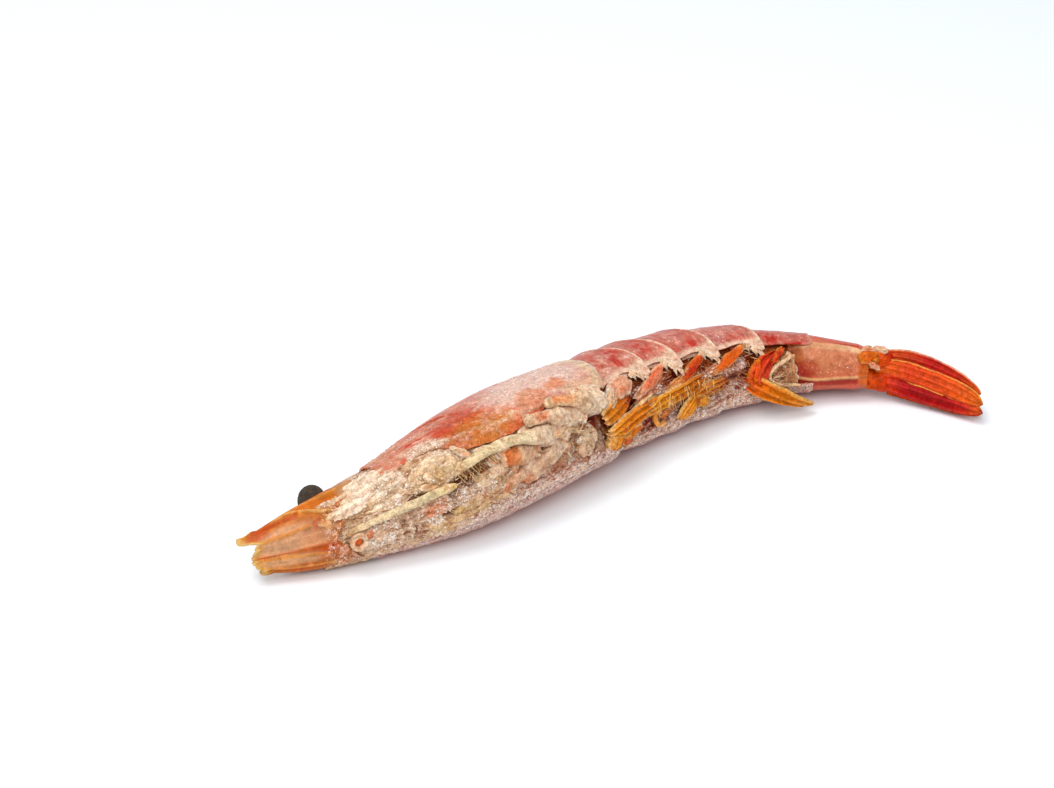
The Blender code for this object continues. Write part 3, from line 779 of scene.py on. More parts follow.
# A spot says (s, phi, length, width, colour, share, height, frost, turn), and a streak (path of (s, phi),
# width, colour, share, height, frost)
CARAPACE_MARKS = (
    spot(34, 100, 12, 9, (214, 150, 128), 0.8, 0, 0.4),
    spot(40, 90, 16, 8, (205, 128, 108), 0.7, 0, 0.35),
    spot(39, 125, 10, 6, (240, 214, 198), 0.85, 0.1, 0.8),
    streak([(31, 112), (32.5, 120), (35, 116)], 1.6, (206, 84, 56), 0.9, 0.1, 0.1),
    streak([(38.5, 101), (42, 104), (46.5, 105)], 1.5, (196, 70, 62), 0.9, 0.25, 0.1),
    # A painted highlight: a thin pale line along the red streak.
    streak([(40, 103), (44, 106)], 0.5, (245, 215, 205), 0.9, 0.15, 0.2),
    spot(50, 108, 14, 6, (200, 92, 76), 0.9, 0, 0.15),
    spot(51, 96, 12, 7, (204, 118, 100), 0.8, 0, 0.2),
    spot(53, 118, 9, 3.2, (212, 112, 76), 0.8, 0, 0.15),
    spot(51, 133, 17, 7.5, (206, 142, 88), 0.95, -0.15, 0.35),
    spot(47, 130, 5, 5, (182, 112, 62), 0.8, -0.1, 0.4),
    spot(58.5, 107, 5, 3, (182, 64, 62), 0.9, -0.1, 0),
    streak([(54, 110), (57, 104), (61, 101)], 0.7, (240, 214, 206), 0.8, 0.1, 0.2),
    spot(72, 100, 28, 15, (248, 230, 232), 0.9, 0, 0.55),
    spot(68, 113, 20, 7, (248, 226, 226), 0.9, 0, 0.5),
    spot(66, 126, 9, 4, (216, 158, 128), 0.8, 0, 0.3),
    spot(73.5, 122, 6, 3, (222, 152, 116), 0.8, 0, 0.1),
    spot(77, 133, 8, 3, (228, 204, 186), 0.8, 0, 0.3),
    streak([(83.5, 60), (86.5, 95), (85, 124), (82.5, 139)], 3.4, (236, 222, 202), 0.9, 0.12, 0.3),
    streak([(30, 128), (38, 123), (44, 123)], 1.4, (224, 208, 186), 0.8, 0.25, 0.9),
    streak([(44, 124), (52, 132), (60, 136), (70, 139)], 1, (218, 186, 150), 0.6, 0.15, 0.5),
    spot(60, 60, 26, 11, (206, 120, 106), 0.7, 0, 0.25),
    spot(46, 30, 22, 9, (196, 92, 78), 0.75, 0, 0.2),
    spot(70, 40, 18, 10, (214, 142, 128), 0.7, 0, 0.35),
    spot(76, 12, 16, 9, (198, 96, 84), 0.7, 0, 0.25),
    spot(60, -8, 24, 9, (202, 110, 96), 0.7, 0, 0.3),
    spot(40, 2, 14, 7, (190, 84, 66), 0.8, 0, 0.2),
    spot(72, -40, 20, 9, (208, 138, 126), 0.7, 0, 0.45),
    streak([(33, 44), (42, 62), (50, 84), (52, 96)], 1.2, (180, 74, 62), 0.6, -0.3, 0.1),
    streak([(33, -44), (42, -62), (50, -84)], 1.2, (180, 74, 62), 0.6, -0.3, 0.1),
    spot(34, 70, 10, 7, (216, 160, 128), 0.7, 0, 0.4),
    spot(70, -134, 26, 6, (214, 186, 180), 0.8, 0, 0.8),
    spot(45, -140, 24, 5, (206, 170, 164), 0.8, 0, 0.85),
    streak([(60, -146), (70, -148), (82, -146)], 1.2, (206, 112, 92), 0.8, 0.1, 0.4),
    streak([(40, -146), (50, -149), (60, -150)], 1.3, (222, 188, 140), 0.7, 0.1, 0.5),
)


def grid(rows, columns):
    """Grids of u from first to last row and v from first to last column, both 0 to 1."""
    u = np.linspace(0, 1, rows)[:, None] * np.ones(columns)
    v = np.linspace(0, 1, columns)[None] * np.ones((rows, 1))
    return u, v


def shell_grid(rows, columns):
    """Grids of u from front to rear and v from the right to the left edge, finest at the left edge."""
    u, v = grid(rows, columns)
    return u, 1 - (1 - v) ** 1.3


HEAD_SHELL_FRONT, HEAD_SHELL_REAR = 29.4, 89.0
# Where round the body the head shell comes nearest to the top of the box
TOP_PHI = 88


def head_shell():
    u, v = shell_grid(170, 230)
    side = np.abs(2 * v - 1)
    front = HEAD_SHELL_FRONT + 2.4 * (1 - side) - 5.5 * np.maximum(0.0, 1 - v / 0.25)
    front = front + 0.5 * layered(xyz(v * 30), 1.5, 4)
    rear = HEAD_SHELL_REAR - 5.0 * side**4 - 1.5 * (1 - side)
    s = front + u * (rear - front)
    ragged = layered(xyz(s), 2.0, 14)
    hook = 4.0 * np.maximum(0.0, u - 0.8) / 0.2
    start = smooth(RIGHT_EDGE, s) + 4.0 * ragged - hook - 360
    phi = start + v * (smooth(SHELL_EDGE, s) + 1.6 * ragged + hook - start)
    colour, height, frost = painted(s, phi, rgb(214, 126, 100), CARAPACE_MARKS, 3, 0.9, 0.2)
    p = xyz(s, phi * 0.2)
    clouds = layered(p, 6.0, 16, 4)
    wisps = 1 - np.abs(layered(p * np.array([0.45, 1.0, 1.0]), 3.2, 18, 4)) * 2.2
    under = step(-95, -125, phi)
    patches = layered(p, 2.2, 17, 4)
    rim = step(0.975, 1.0, u)
    lip = step(0.02, 0.0, v) + step(0.985, 1.0, v)
    colour = coated(
        colour,
        ((246, 218, 204), step(0.15, 0.8, clouds) * 0.4),
        ((244, 216, 204), step(0.55, 1.0, wisps) * 0.4),
        ((190, 78, 60), step(-0.1, -0.8, clouds) * 0.35),
        ((222, 198, 194), under * 0.85),
        ((172, 92, 78), under * step(0.15, 0.6, patches) * 0.6),
        (CREAM, rim * 0.6),
    )
    frost = np.maximum(frost, under * 0.95)
    height = height + 0.10 * layered(p, 5.0, 11) + 0.05 * layered(p, 1.2, 12)
    height = height + 0.14 * frost * (grains(p, 0.7, 13) - 0.4) + under * 0.25 * patches
    height = height - 0.25 * rim - 0.25 * lip
    highest = np.where(np.abs(phi - TOP_PHI) < 28, 0.05, 0.35)
    rise = OVERLAP_RISE + np.minimum(height, highest)
    thickness = 0.6 - 0.25 * rim
    inner = coated(colour, ((214, 150, 120), np.full(s.shape, 0.7)))
    piece = Piece()
    piece.sheet(skin(s, phi, rise), skin(s, phi, rise - thickness), colour, frost, inner)
    return piece.finish("head_shell", SHELL_LOOK, "shell", "carapace")


# ---------- tail segment shells

# Segment shells: first and last station, how far its rear corner hangs down, how far its rear edge lies
# forward over the back
SEGMENTS = (
    (84.6, 99, 12, 7), (88, 108.5, 14, 10), (97.5, 120.5, 14, 7.5), (110.5, 134, 14, 6.5),
    (125.5, 147, 5, 1),
)
SEGMENT_MARKS = (
    (
        spot(88, 96, 5, 6, (190, 74, 66), 0.8, 0, 0.1, 20),
        spot(93.5, 110, 5, 8, (186, 70, 64), 0.85, 0, 0.05, 25),
        spot(91, 84, 6, 4, (206, 118, 106), 0.7, 0, 0.3), spot(89, 128, 6, 3, (222, 180, 168), 0.8, 0, 0.5),
        spot(91.5, 104, 1.6, 7, (222, 170, 160), 0.7, 0, 0.4, 20),
        spot(92, 30, 6, 9, (196, 86, 76), 0.7, 0, 0.2), spot(93, -20, 6, 9, (192, 82, 72), 0.7, 0, 0.2),
    ),
    (
        spot(102, 112, 4, 6, (190, 70, 62), 0.85, 0, 0.05, 20),
        spot(101.5, 131, 3, 3, (192, 84, 74), 0.8, 0, 0.1),
        spot(98, 96, 3, 7, (212, 146, 136), 0.7, 0, 0.4, 25),
        spot(105.5, 126, 2.5, 5, (196, 88, 78), 0.7, 0, 0.2, 15),
        spot(102, 40, 5, 9, (198, 90, 80), 0.7, 0, 0.2), spot(102, -10, 5, 9, (190, 80, 70), 0.7, 0, 0.2),
    ),
    (
        spot(112.5, 96, 5, 5, (206, 118, 108), 0.7, 0, 0.3, 20),
        spot(114, 128, 4.5, 4, (186, 62, 58), 0.85, 0, 0.05),
        spot(111, 112, 4, 5, (210, 138, 130), 0.7, 0, 0.45),
        spot(117, 118, 2.5, 7, (194, 82, 76), 0.7, 0, 0.2, 12),
        spot(118, 137, 3.5, 3, (196, 76, 66), 0.8, 0, 0.1),
        spot(113, 40, 6, 9, (196, 88, 78), 0.7, 0, 0.2), spot(114, -16, 6, 9, (192, 82, 72), 0.7, 0, 0.2),
    ),
    (
        spot(122.5, 118, 6, 7, (204, 134, 130), 0.8, 0, 0.55),
        spot(129, 122, 4, 7, (200, 110, 102), 0.7, 0, 0.3, 10),
        spot(131.5, 138, 4, 3.5, (192, 74, 64), 0.85, 0, 0.1),
        spot(124, 98, 6, 5, (204, 116, 104), 0.7, 0, 0.3),
        spot(127, 75, 6, 5, (190, 74, 64), 0.7, 0, 0.2), spot(125, 30, 7, 8, (196, 88, 76), 0.7, 0, 0.2),
    ),
    (
        spot(136.5, 126, 5, 4, (186, 62, 52), 0.9, 0, 0.05),
        spot(141.5, 116, 4, 5, (202, 122, 116), 0.7, 0, 0.4),
        spot(137, 104, 4, 4, (198, 92, 84), 0.7, 0, 0.25), spot(140, 70, 6, 4, (196, 84, 76), 0.7, 0, 0.25),
        spot(139, 20, 7, 6, (194, 84, 74), 0.7, 0, 0.25),
        streak([(132, 141.5), (138, 142), (144, 136)], 0.8, (178, 40, 26), 0.95, 0.12, 0),
    ),
)


# Torn flaps under the rear corner of a segment shell: distance before its rear end, first and last phi,
# half width
TATTERS = ((5.4, 140, 148, 1.3), (3.4, 144, 158, 0.8), (1.7, 149, 167, 0.6))


def segment_shell(index):
    front, rear, drop, slant = SEGMENTS[index]
    hooked = index < 4
    u, v = shell_grid(80, 220)
    lean = 1 - step(0.1, 1.0, np.abs(2 * v - 1))
    wave = layered(xyz(v * 26, 0.0, index), 1.2, 33)
    end = rear - slant * lean + 0.22 * wave - 0.9 * step(0.975, 1.0, v)
    s = front + u * (end - front)
    tail_part = (s - (rear - 7.0)) / 7.0
    hook = (drop + 2.0) * np.clip(tail_part, 0, 1) ** 1.7
    hook = hook - 3.5 * step(0.9, 0.0, np.abs(tail_part - 0.1))
    start = smooth(RIGHT_EDGE, s) - 0.5 * np.maximum(hook, 0) - 360
    phi = start + v * (smooth(LEFT_EDGE, s) + hook * hooked - start)
    base = rgb(202, 118, 108) if index < 3 else rgb(202, 120, 112)
    colour, height, frost = painted(s, phi, base, SEGMENT_MARKS[index], 40 + index, 0.7, 0.22)
    p = xyz(s, phi * 0.2, index * 7.0)
    film = step(0.0, 0.8, layered(p, 3.0, 60 + index)) * 0.55
    veins = 1 - np.abs(layered(p * np.array([1.0, 0.35, 1.0]), 1.8, 66 + index))
    to_rear = end - s
    back_edge = to_rear / 0.55 + 0.25 * layered(p, 0.8, 71)
    rim = step(1.3, 0.6, back_edge + 0.4 * np.abs(wave)) * (0.4 + 0.6 * step(60, 110, phi))
    rim = rim * (1.0 if hooked else 0.3)
    glow = step(6.0, 0.5, to_rear + 0.6 * layered(p, 2.0, 72)) * step(95, 135, phi) * 0.75
    near_corner = np.hypot((s - (rear - 1.5)) / 5.5, (phi - 146.0) / 20.0) + 0.12 * layered(p, 1.8, 73)
    corner = step(1.1, 0.45, near_corner) * hooked
    edge = step(0.965, 0.99, v) * 0.7
    fibres = layered(xyz(to_rear * 0.25 + phi * 0.03, phi * 0.16), 0.9, 77)
    white = np.clip(0.9 * rim + 0.9 * corner + edge * hooked + 0.45 * glow * hooked, 0, 0.93)
    white = white * (0.86 + 0.3 * fibres)
    line = step(1.0, 0.4, np.abs(to_rear - 1.5) / 0.4) * 0.35 * (1 - corner)
    under = step(-100, -128, phi)
    pits = step(0.2, 0.55, layered(p, 1.5, 79, 4))
    colour = coated(
        colour,
        ((224, 176, 170), film),
        ((240, 204, 196), step(0.75, 1.0, veins) * 0.35),
        ((250, 242, 232), np.clip(white, 0, 0.95)),
        ((206, 150, 120), corner * step(0.1, 0.7, -fibres) * 0.7),
        ((176, 72, 66), line),
        ((226, 202, 196), under * 0.85),
        ((150, 60, 52), under * pits * 0.6),
    )
    frost = np.maximum(np.maximum(frost, film), under * 0.9)
    height = height + 0.08 * layered(p, 4.0, 51) + 0.05 * layered(p, 1.0, 52) + 0.16 * rim - 0.10 * line
    height = height + 0.10 * frost * (grains(p, 0.7, 13) - 0.4) + 0.25 * under * layered(p, 1.6, 55)
    rise = -1.6 + (OVERLAP_RISE + 1.6) * u**0.7 + np.clip(height, -0.4, 0.3)
    thickness = 0.55 - 0.3 * step(2.0, 0.2, to_rear) - 0.1 * edge
    inner = coated(colour, ((206, 130, 92), np.full(s.shape, 0.6)))
    piece = Piece()
    piece.sheet(skin(s, phi, rise), skin(s, phi, rise - thickness), colour, frost, inner)
    for k, (back, first, last, wide) in enumerate(TATTERS if hooked else ()):
        last = last - (4, 0, 5, 2)[index] * (k > 0)
        hang = (
            (rear - back, first, -0.1, wide),
            (rear - back + 0.7, (first + last) / 2, 0.0, 0.8 * wide),
            (rear - back + 1.0, last, -0.4, 0.16),
        )
        tones = ((0, (244, 226, 210)), (0.6, (236, 206, 180)), (1, (248, 240, 230)))
        skin_leaf(
            piece, hang, tones, (252, 246, 238), 81 + 10 * index + k, 40, arch=0.25, folds=2.2, ridge=0.14,
            thickness=0.3, rim_share=0.3, ragged=1.6, frost=0.3, columns=16,
        )
    return piece.finish(f"segment_shell_{index + 1}", SHELL_LOOK, "shell", f"tergite_{index + 1}")


# ---------- soft underside

# The dark brown and near-black marks sunk below the skin, with negative heights, are painted shade in the
# grooves, holes and gaps between the mouth parts and legs and under the rear edge of the head shell.
HEAD_MARKS = (
    spot(60, 203, 44, 8, (248, 234, 230), 0.75, 0.1, 0.75),
    spot(26, 118, 10, 12, (226, 200, 178), 0.9, 0.2, 0.7),
    streak([(32.3, 140), (32.6, 165)], 0.9, (128, 96, 58), 0.8, -0.9, 0.2),
    streak([(32.4, 180), (32.8, 215)], 0.9, (126, 80, 46), 0.75, -0.9, 0.3),
    spot(37.5, 152, 8, 6.5, (222, 200, 168), 0.9, 0.9, 0.55),
    streak([(36, 143), (36.6, 149)], 0.6, (104, 60, 30), 0.9, -0.6, 0),
    streak([(33.5, 166), (38, 168), (41, 166)], 1, (110, 66, 34), 0.8, -0.8, 0.1),
    spot(27, 150, 8, 7, (216, 198, 170), 0.8, 0.5, 0.6),
    spot(26, 165, 12, 4, (236, 214, 188), 0.8, -0.1, 0.6),
    spot(45.5, 169, 8, 3.6, (104, 42, 22), 0.95, -2.2, 0),
    spot(41.5, 177, 3.5, 1.6, (60, 20, 10), 0.95, -1.2, 0),
    spot(49, 168, 3, 4, (214, 186, 150), 0.8, 0.3, 0.4),
    spot(29, 192, 14, 9, (240, 220, 206), 0.85, 0.7, 0.8),
    spot(37, 187, 6, 3.4, (224, 150, 116), 0.8, 0.2, 0.4),
    spot(45, 188, 14, 6, (236, 212, 198), 0.9, 0.7, 0.85),
    streak([(39, 198), (44, 200), (50, 201)], 1.3, (128, 78, 42), 0.9, -0.9, 0.2),
    streak([(37, 210), (44, 208), (54, 203)], 1.7, (240, 216, 178), 0.85, 0.6, 0.5),
    streak([(35, 203), (38, 212), (40, 216)], 1, (240, 218, 184), 0.8, 0.5, 0.5),
    spot(56, 162, 7, 3, (228, 160, 120), 0.6, 0.2, 0.4),
    spot(52, 182, 5, 5, (214, 190, 160), 0.85, 0.8, 0.6),
    spot(58, 184, 5, 2.6, (112, 34, 16), 0.95, -1.6, 0),
    spot(65, 179, 6, 1.8, (104, 30, 14), 0.95, -1.6, 0),
    spot(71, 176, 4, 3, (140, 104, 66), 0.8, -0.8, 0.3),
    spot(68, 195, 12, 5, (238, 216, 200), 0.8, 0.2, 0.6),
    spot(60, 203, 10, 3, (242, 222, 212), 0.8, 0.3, 0.6),
    spot(78.5, 178, 6.5, 12, (146, 56, 26), 0.95, -0.45, 0),
    spot(76.5, 196, 3, 9, (176, 104, 50), 0.9, -0.2, 0),
    spot(79, 156, 5, 5, (148, 84, 46), 0.9, -0.4, 0.1),
    streak([(84, 126), (82.5, 142), (80.5, 158), (79, 166)], 1.5, (142, 76, 40), 0.9, -0.6, 0.1),
    spot(66, 208, 6, 2.5, (206, 110, 84), 0.6, 0.1, 0.4),
    spot(75, 210, 5, 2.5, (212, 132, 108), 0.6, 0.1, 0.4),
)
# The dark brown and dark red spots sunk below the skin, with negative heights, are painted shade in the gaps
# between the swimming limbs.
TAIL_FLESH_MARKS = (
    streak([(82, 212), (100, 217), (120, 219), (141, 221)], 7, (242, 222, 216), 0.85, 0.15, 0.9),
    spot(97.5, 147, 5, 4, (140, 82, 46), 0.9, -0.3, 0),
    spot(109, 149, 6, 4.5, (136, 74, 38), 0.9, -0.3, 0),
    spot(121, 148, 6, 3.5, (146, 84, 44), 0.9, -0.3, 0),
    spot(131, 160, 5, 7, (138, 70, 36), 0.9, -0.3, 0),
    spot(139, 152, 5, 6, (162, 112, 76), 0.8, 0, 0.2),
    spot(98, 168, 11, 5, (222, 180, 166), 0.9, 0.9, 1),
    spot(92, 174, 8, 3, (122, 40, 22), 0.9, -0.4, 0),
    spot(107, 166, 10, 4, (120, 36, 18), 0.8, -0.3, 0.1),
    spot(112, 170, 8, 3, (200, 162, 140), 0.7, 0.5, 0.7),
    spot(124, 170, 9, 5, (226, 186, 174), 0.9, 1, 1),
    spot(118, 178, 9, 5, (216, 176, 158), 0.8, 0.7, 0.9),
    spot(123, 190, 8, 5, (112, 34, 22), 0.85, -0.5, 0.1),
    spot(117, 204, 16, 7, (244, 222, 216), 0.9, 0.6, 0.9),
    spot(127, 207, 12, 6, (246, 224, 218), 0.9, 0.7, 0.8),
    spot(128, 184, 4, 4, (126, 36, 24), 0.8, -0.4, 0.1),
    spot(97, 205, 8, 5, (176, 96, 52), 0.8, 0.3, 0.4),
    spot(103, 196, 7, 4, (186, 122, 70), 0.8, 0.4, 0.5),
    spot(112, 190, 10, 4, (190, 140, 70), 0.8, 0.5, 0.5),
    spot(98, 213, 7, 3, (186, 116, 96), 0.8, 0, 0.6),
    spot(86, 204, 9, 6, (200, 148, 64), 0.9, 0.9, 0.4),
    spot(84, 186, 5, 3, (150, 56, 20), 0.8, -0.3, 0),
    spot(134, 192, 5, 5, (146, 80, 40), 0.8, 0, 0.1),
    spot(137, 176, 5, 6, (150, 96, 62), 0.85, -0.1, 0.2),
    spot(138, 200, 6, 8, (166, 124, 92), 0.8, 0.2, 0.5),
    *(
        spot(s, phi, length, width, (136, 34, 30), 0.8, -0.4, 0.1)
        for s, phi, length, width in (
            (96, 207, 3, 1.4), (101.5, 211, 2.4, 1.6), (107, 209, 3.4, 1.5), (113.5, 213, 2, 1.2),
            (118, 198, 3, 2), (122.5, 212, 2.2, 1.2), (126, 200, 3, 1.8), (131, 214, 2, 1.4),
        )
    ),
    streak([(140.5, 163), (138.5, 174), (135, 188), (136, 203), (140, 214)], 0.9, (238, 220, 194),
           0.95, 0.8, 0.3),
)


def soft_body(name, look, first, last, base, marks, seed, coarse, ice):
    """A stretch of the soft body, finely modelled where it shows between the edges of the shell."""
    rows, bare, covered = int((last - first) / 0.2), 170, 20
    s = np.linspace(first, last, rows)[:, None]
    left = smooth(LEFT_EDGE, s) - 4.0 * step(44, 36, s)
    over_right = 6.0 + 3.0 * layered(xyz(s, 0.0, 3.0), 3.0, seed)
    right = smooth(RIGHT_EDGE, s) + over_right
    start = right - 360
    v = np.linspace(0, 1, bare)[None]
    w = np.linspace(0, 1, covered + 2)[None, 1:-1]
    phi = np.concatenate([left + v * (right - left), start + w * (left - start) + 360], 1)
    covered_rise = np.interp(s, *zip(*COVERED_RISE))
    bare_rise = smooth(BARE_RISE, s)
    from_left = np.clip(5.5 * v, 0, 1)
    from_right = np.clip(5.5 * (1 - v), 0, 1)
    at_left = covered_rise + (0.35 - covered_rise) * step(44, 36, s)
    bare_rise = bare_rise + (at_left - bare_rise) * (1 - from_left) ** 1.5
    bare_rise = bare_rise + (0.45 - bare_rise) * (1 - from_right) ** 1.2
    hidden = np.zeros((rows, covered))
    rise = np.concatenate([bare_rise, np.minimum(covered_rise, -0.4) + hidden], 1)
    share = np.concatenate([np.ones((rows, bare)), hidden], 1)
    near_edge = np.concatenate([np.minimum(from_left, from_right) + np.zeros((rows, 1)), hidden], 1)
    s = s * np.ones((1, bare + covered))
    shown = np.where(phi > 300, phi - 360, phi)
    colour, height, frost = painted(s, shown, rgb(*base), marks, seed, 0.6, ice)
    p = xyz(s, phi * 0.2)
    lumps = layered(p, coarse, seed + 1, 4)
    strands = creased(p * np.array([0.40, 1.0, 1.0]) + 0.6 * lumps[..., None], 1.2, seed + 6, 3, 2)
    crumple = creased(p, 1.7, seed + 9, 4, 2)
    grit = grains(p, 0.7, seed + 2) - 0.4
    fine = grains(p, 0.42, seed + 3) - 0.4
    relief = 0.35 * lumps + 0.28 * strands + 0.30 * crumple + (0.30 * grit + 0.22 * fine) * (0.3 + frost)
    rise = rise + share * (height * near_edge + relief * (0.5 + 0.5 * near_edge))
    # Painted light and shade: a little brighter on the raised lumps, darker in the hollows between lumps,
    # strands and grit, and white frost on the crests, which is partly a painted highlight.
    colour = colour * (1 + 0.10 * lumps)[..., None]
    depth = 0.6 * lumps + 0.5 * grit + 0.45 * strands + 0.5 * crumple
    hollow_shade = 0.55 if last < 100 else 0.85
    colour = stained(colour, (0.62, 0.42, 0.26), step(-0.05, -0.4, depth) * hollow_shade)
    colour = stained(colour, (0.40, 0.20, 0.12), step(-0.4, -1.0, depth) * 0.9)
    frost_and_highlight = step(0.15, 0.8, 0.5 * lumps + grit + 0.5 * strands + 0.4 * crumple) * 0.7 * frost
    colour = coated(colour, ((252, 246, 238), frost_and_highlight))
    piece = Piece()
    frost = frost * (0.6 + 0.6 * step(-0.4, 0.6, lumps))
    piece.tube(skin(s, phi, np.minimum(rise, 0.85)), colour, frost)
    return piece.finish(name, look, "flesh", "body")


# ---------- sixth segment

SIXTH_MARKS = (
    spot(150, 98, 14, 6, (214, 120, 104), 0.8, 0, 0.2), spot(151, 80, 14, 4, (204, 96, 84), 0.7, 0, 0.15),
    streak([(145, 128), (149, 127), (153, 123), (158, 116)], 0.55, (186, 46, 30), 0.95, 0.12, 0),
    streak([(143, 135), (150, 134.5), (156, 131), (161, 136)], 1.3, (244, 218, 190), 0.95, 0.22, 0.1),
    spot(150, 156, 15, 7, (218, 166, 136), 0.7, 0, 0.15),
    spot(150, 184, 15, 5, (206, 142, 112), 0.7, 0, 0.4),
    spot(142.4, 152, 4, 6, (176, 108, 58), 0.85, -0.1, 0),
    spot(143.2, 170, 3, 6, (186, 112, 64), 0.7, -0.1, 0),
    spot(142.6, 198, 7.5, 6, (146, 26, 8), 0.95, -0.2, 0, 20),
    spot(146, 188, 5, 5, (176, 74, 36), 0.6, -0.1, 0, 20),
    streak([(154, 150), (155.5, 160), (154.6, 170), (156, 182), (157, 194)], 0.7, (184, 120, 98), 0.7,
           -0.2, 0.3),
    streak([(156.5, 152), (157.6, 166), (157, 180)], 0.5, (228, 180, 156), 0.6, 0.2, 0.3),
    streak([(143, 212), (150, 213), (157, 208), (161, 203)], 0.8, (240, 206, 164), 0.9, 0.2, 0.1),
    streak([(143, 219), (151, 221), (158, 216)], 1.4, (150, 46, 30), 0.8, -0.1, 0.1),
    spot(160, 180, 3, 9, (206, 120, 64), 0.8, 0, 0.1),
)


def sixth_segment():
    u, _ = grid(110, 200)
    phi = np.linspace(0, 360, 200, endpoint=False) * np.ones((110, 1))
    s = 141.2 + 19.8 * u
    rise = -1.4 + 1.4 * np.minimum(1.0, 4 * u) - 0.8 * np.maximum(0.0, u - 0.85) / 0.15
    open_side = (phi > 130) & (phi < 222)
    rise = rise - np.where(open_side, np.maximum(0.0, np.cos(np.radians((phi - 176) * 1.95))) ** 0.6, 0)
    signed = np.where(phi > 270, phi - 360, phi)
    base = rgb(214, 120, 104)
    colour, height, frost = painted(s, signed, base, SIXTH_MARKS, 90, 0.3, 0.15)
    meat = step(130, 136, phi) * step(214, 208, phi)
    p = xyz(s, phi * 0.12)
    ramp = ((130, (216, 160, 128)), (155, (222, 172, 142)), (180, (208, 146, 116)), (205, (196, 124, 96)))
    plain = stops(ramp, phi) * (1 + 0.10 * layered(p, 3.0, 91, 4))[..., None]
    covers = [(mark[0], None, 0, 1.0, None) for mark in SIXTH_MARKS[2:]]
    covered = painted(s, signed, base, covers, 90, 0.3)[1]
    colour = blended(colour, plain, meat * np.clip(1 - covered, 0, 1))
    frost = np.maximum(frost, meat * 0.35)
    under = step(230, 250, phi) * step(320, 300, phi)
    colour = coated(colour, ((160, 80, 62), under * 0.5), ((216, 132, 80), step(0.86, 1.0, u) * 0.5))
    bumps = layered(p, 1.6, 93, 4)
    height = height + meat * (0.10 * bumps + 0.10 * (grains(p, 0.6, 94) - 0.4)) + 0.04 * layered(p, 3.0, 95)
    # Painted shade in the dips between the bumps of the meat.
    colour = stained(colour, (0.76, 0.60, 0.50), meat * step(0.0, -0.6, bumps) * 0.6)
    piece = Piece()
    piece.tube(skin(s, phi, rise + height), colour, frost)
    return piece.finish("sixth_segment", SMOOTH_MEAT_LOOK, "flesh", "segment_six")


# ---------- plates before the head

LEFT_PLATE_MARKS = (
    spot(6, 110, 13, 9, (208, 116, 30), 0.9, 0, 0.05), spot(7, 140, 12, 4.5, (202, 104, 28), 0.95, 0, 0.05),
    spot(15, 112, 9, 6, (218, 132, 44), 0.8, 0, 0.05), spot(9, 128, 8, 4, (218, 150, 78), 0.7, 0.1, 0.15),
    spot(19, 84, 9, 5, (212, 140, 52), 0.8, 0, 0.1), spot(25, 108, 8, 12, (226, 202, 182), 0.95, 0.15, 0.8),
    spot(23, 92, 5, 6, (206, 150, 92), 0.7, 0, 0.2),
    streak([(6.5, 100), (9, 104), (12, 118), (15, 130), (18, 139)], 0.7, (238, 196, 136), 0.95, 0.5, 0.1),
    streak([(7.5, 96), (12, 100), (18, 98), (22, 96)], 0.5, (232, 180, 110), 0.8, 0.35, 0.1),
    streak([(2, 92), (8, 90), (14, 86), (20, 80)], 0.6, (206, 96, 20), 0.7, -0.15, 0),
    spot(7, 163, 15, 5.5, (226, 188, 160), 0.95, 0, 0.1), spot(14, 170, 7, 5, (222, 172, 142), 0.85, 0, 0.2),
    spot(14.6, 151, 1.5, 2.4, (200, 92, 50), 0.6, 0.15, 0.1, 30),
    streak([(2, 149), (8, 152), (13, 150)], 0.8, (224, 160, 96), 0.7, 0.2, 0),
    streak([(-2, 108), (-1.5, 116), (-1, 126)], 2.6, (228, 206, 160), 0.8, 0.1, 0.1),
    streak([(3, 108), (7, 116), (11, 121)], 1.3, (190, 84, 18), 0.7, -0.1, 0),
)
RIGHT_PLATE_MARKS = (
    spot(8, 190, 14, 2.6, (216, 128, 46), 0.9, 0.1, 0.05),
    spot(15, 200, 8, 4.5, (206, 106, 44), 0.9, 0.1, 0.1),
    spot(8, 209, 13, 3.4, (224, 184, 150), 0.95, 0, 0.1), spot(10, 228, 14, 2.6, (206, 112, 40), 0.9, 0, 0.1),
    spot(18, 216, 7, 4, (212, 142, 96), 0.8, 0.1, 0.4), spot(24, 232, 9, 4, (214, 172, 148), 0.8, 0.1, 0.6),
    streak([(3, 196), (9, 197), (16, 205)], 0.6, (226, 164, 96), 0.7, 0.25, 0),
    streak([(3, 221), (10, 222), (18, 226)], 0.6, (228, 176, 116), 0.8, 0.3, 0.1),
    streak([(1, 188), (1.5, 230)], 1.6, (228, 190, 134), 0.9, 0.1, 0.1),
)


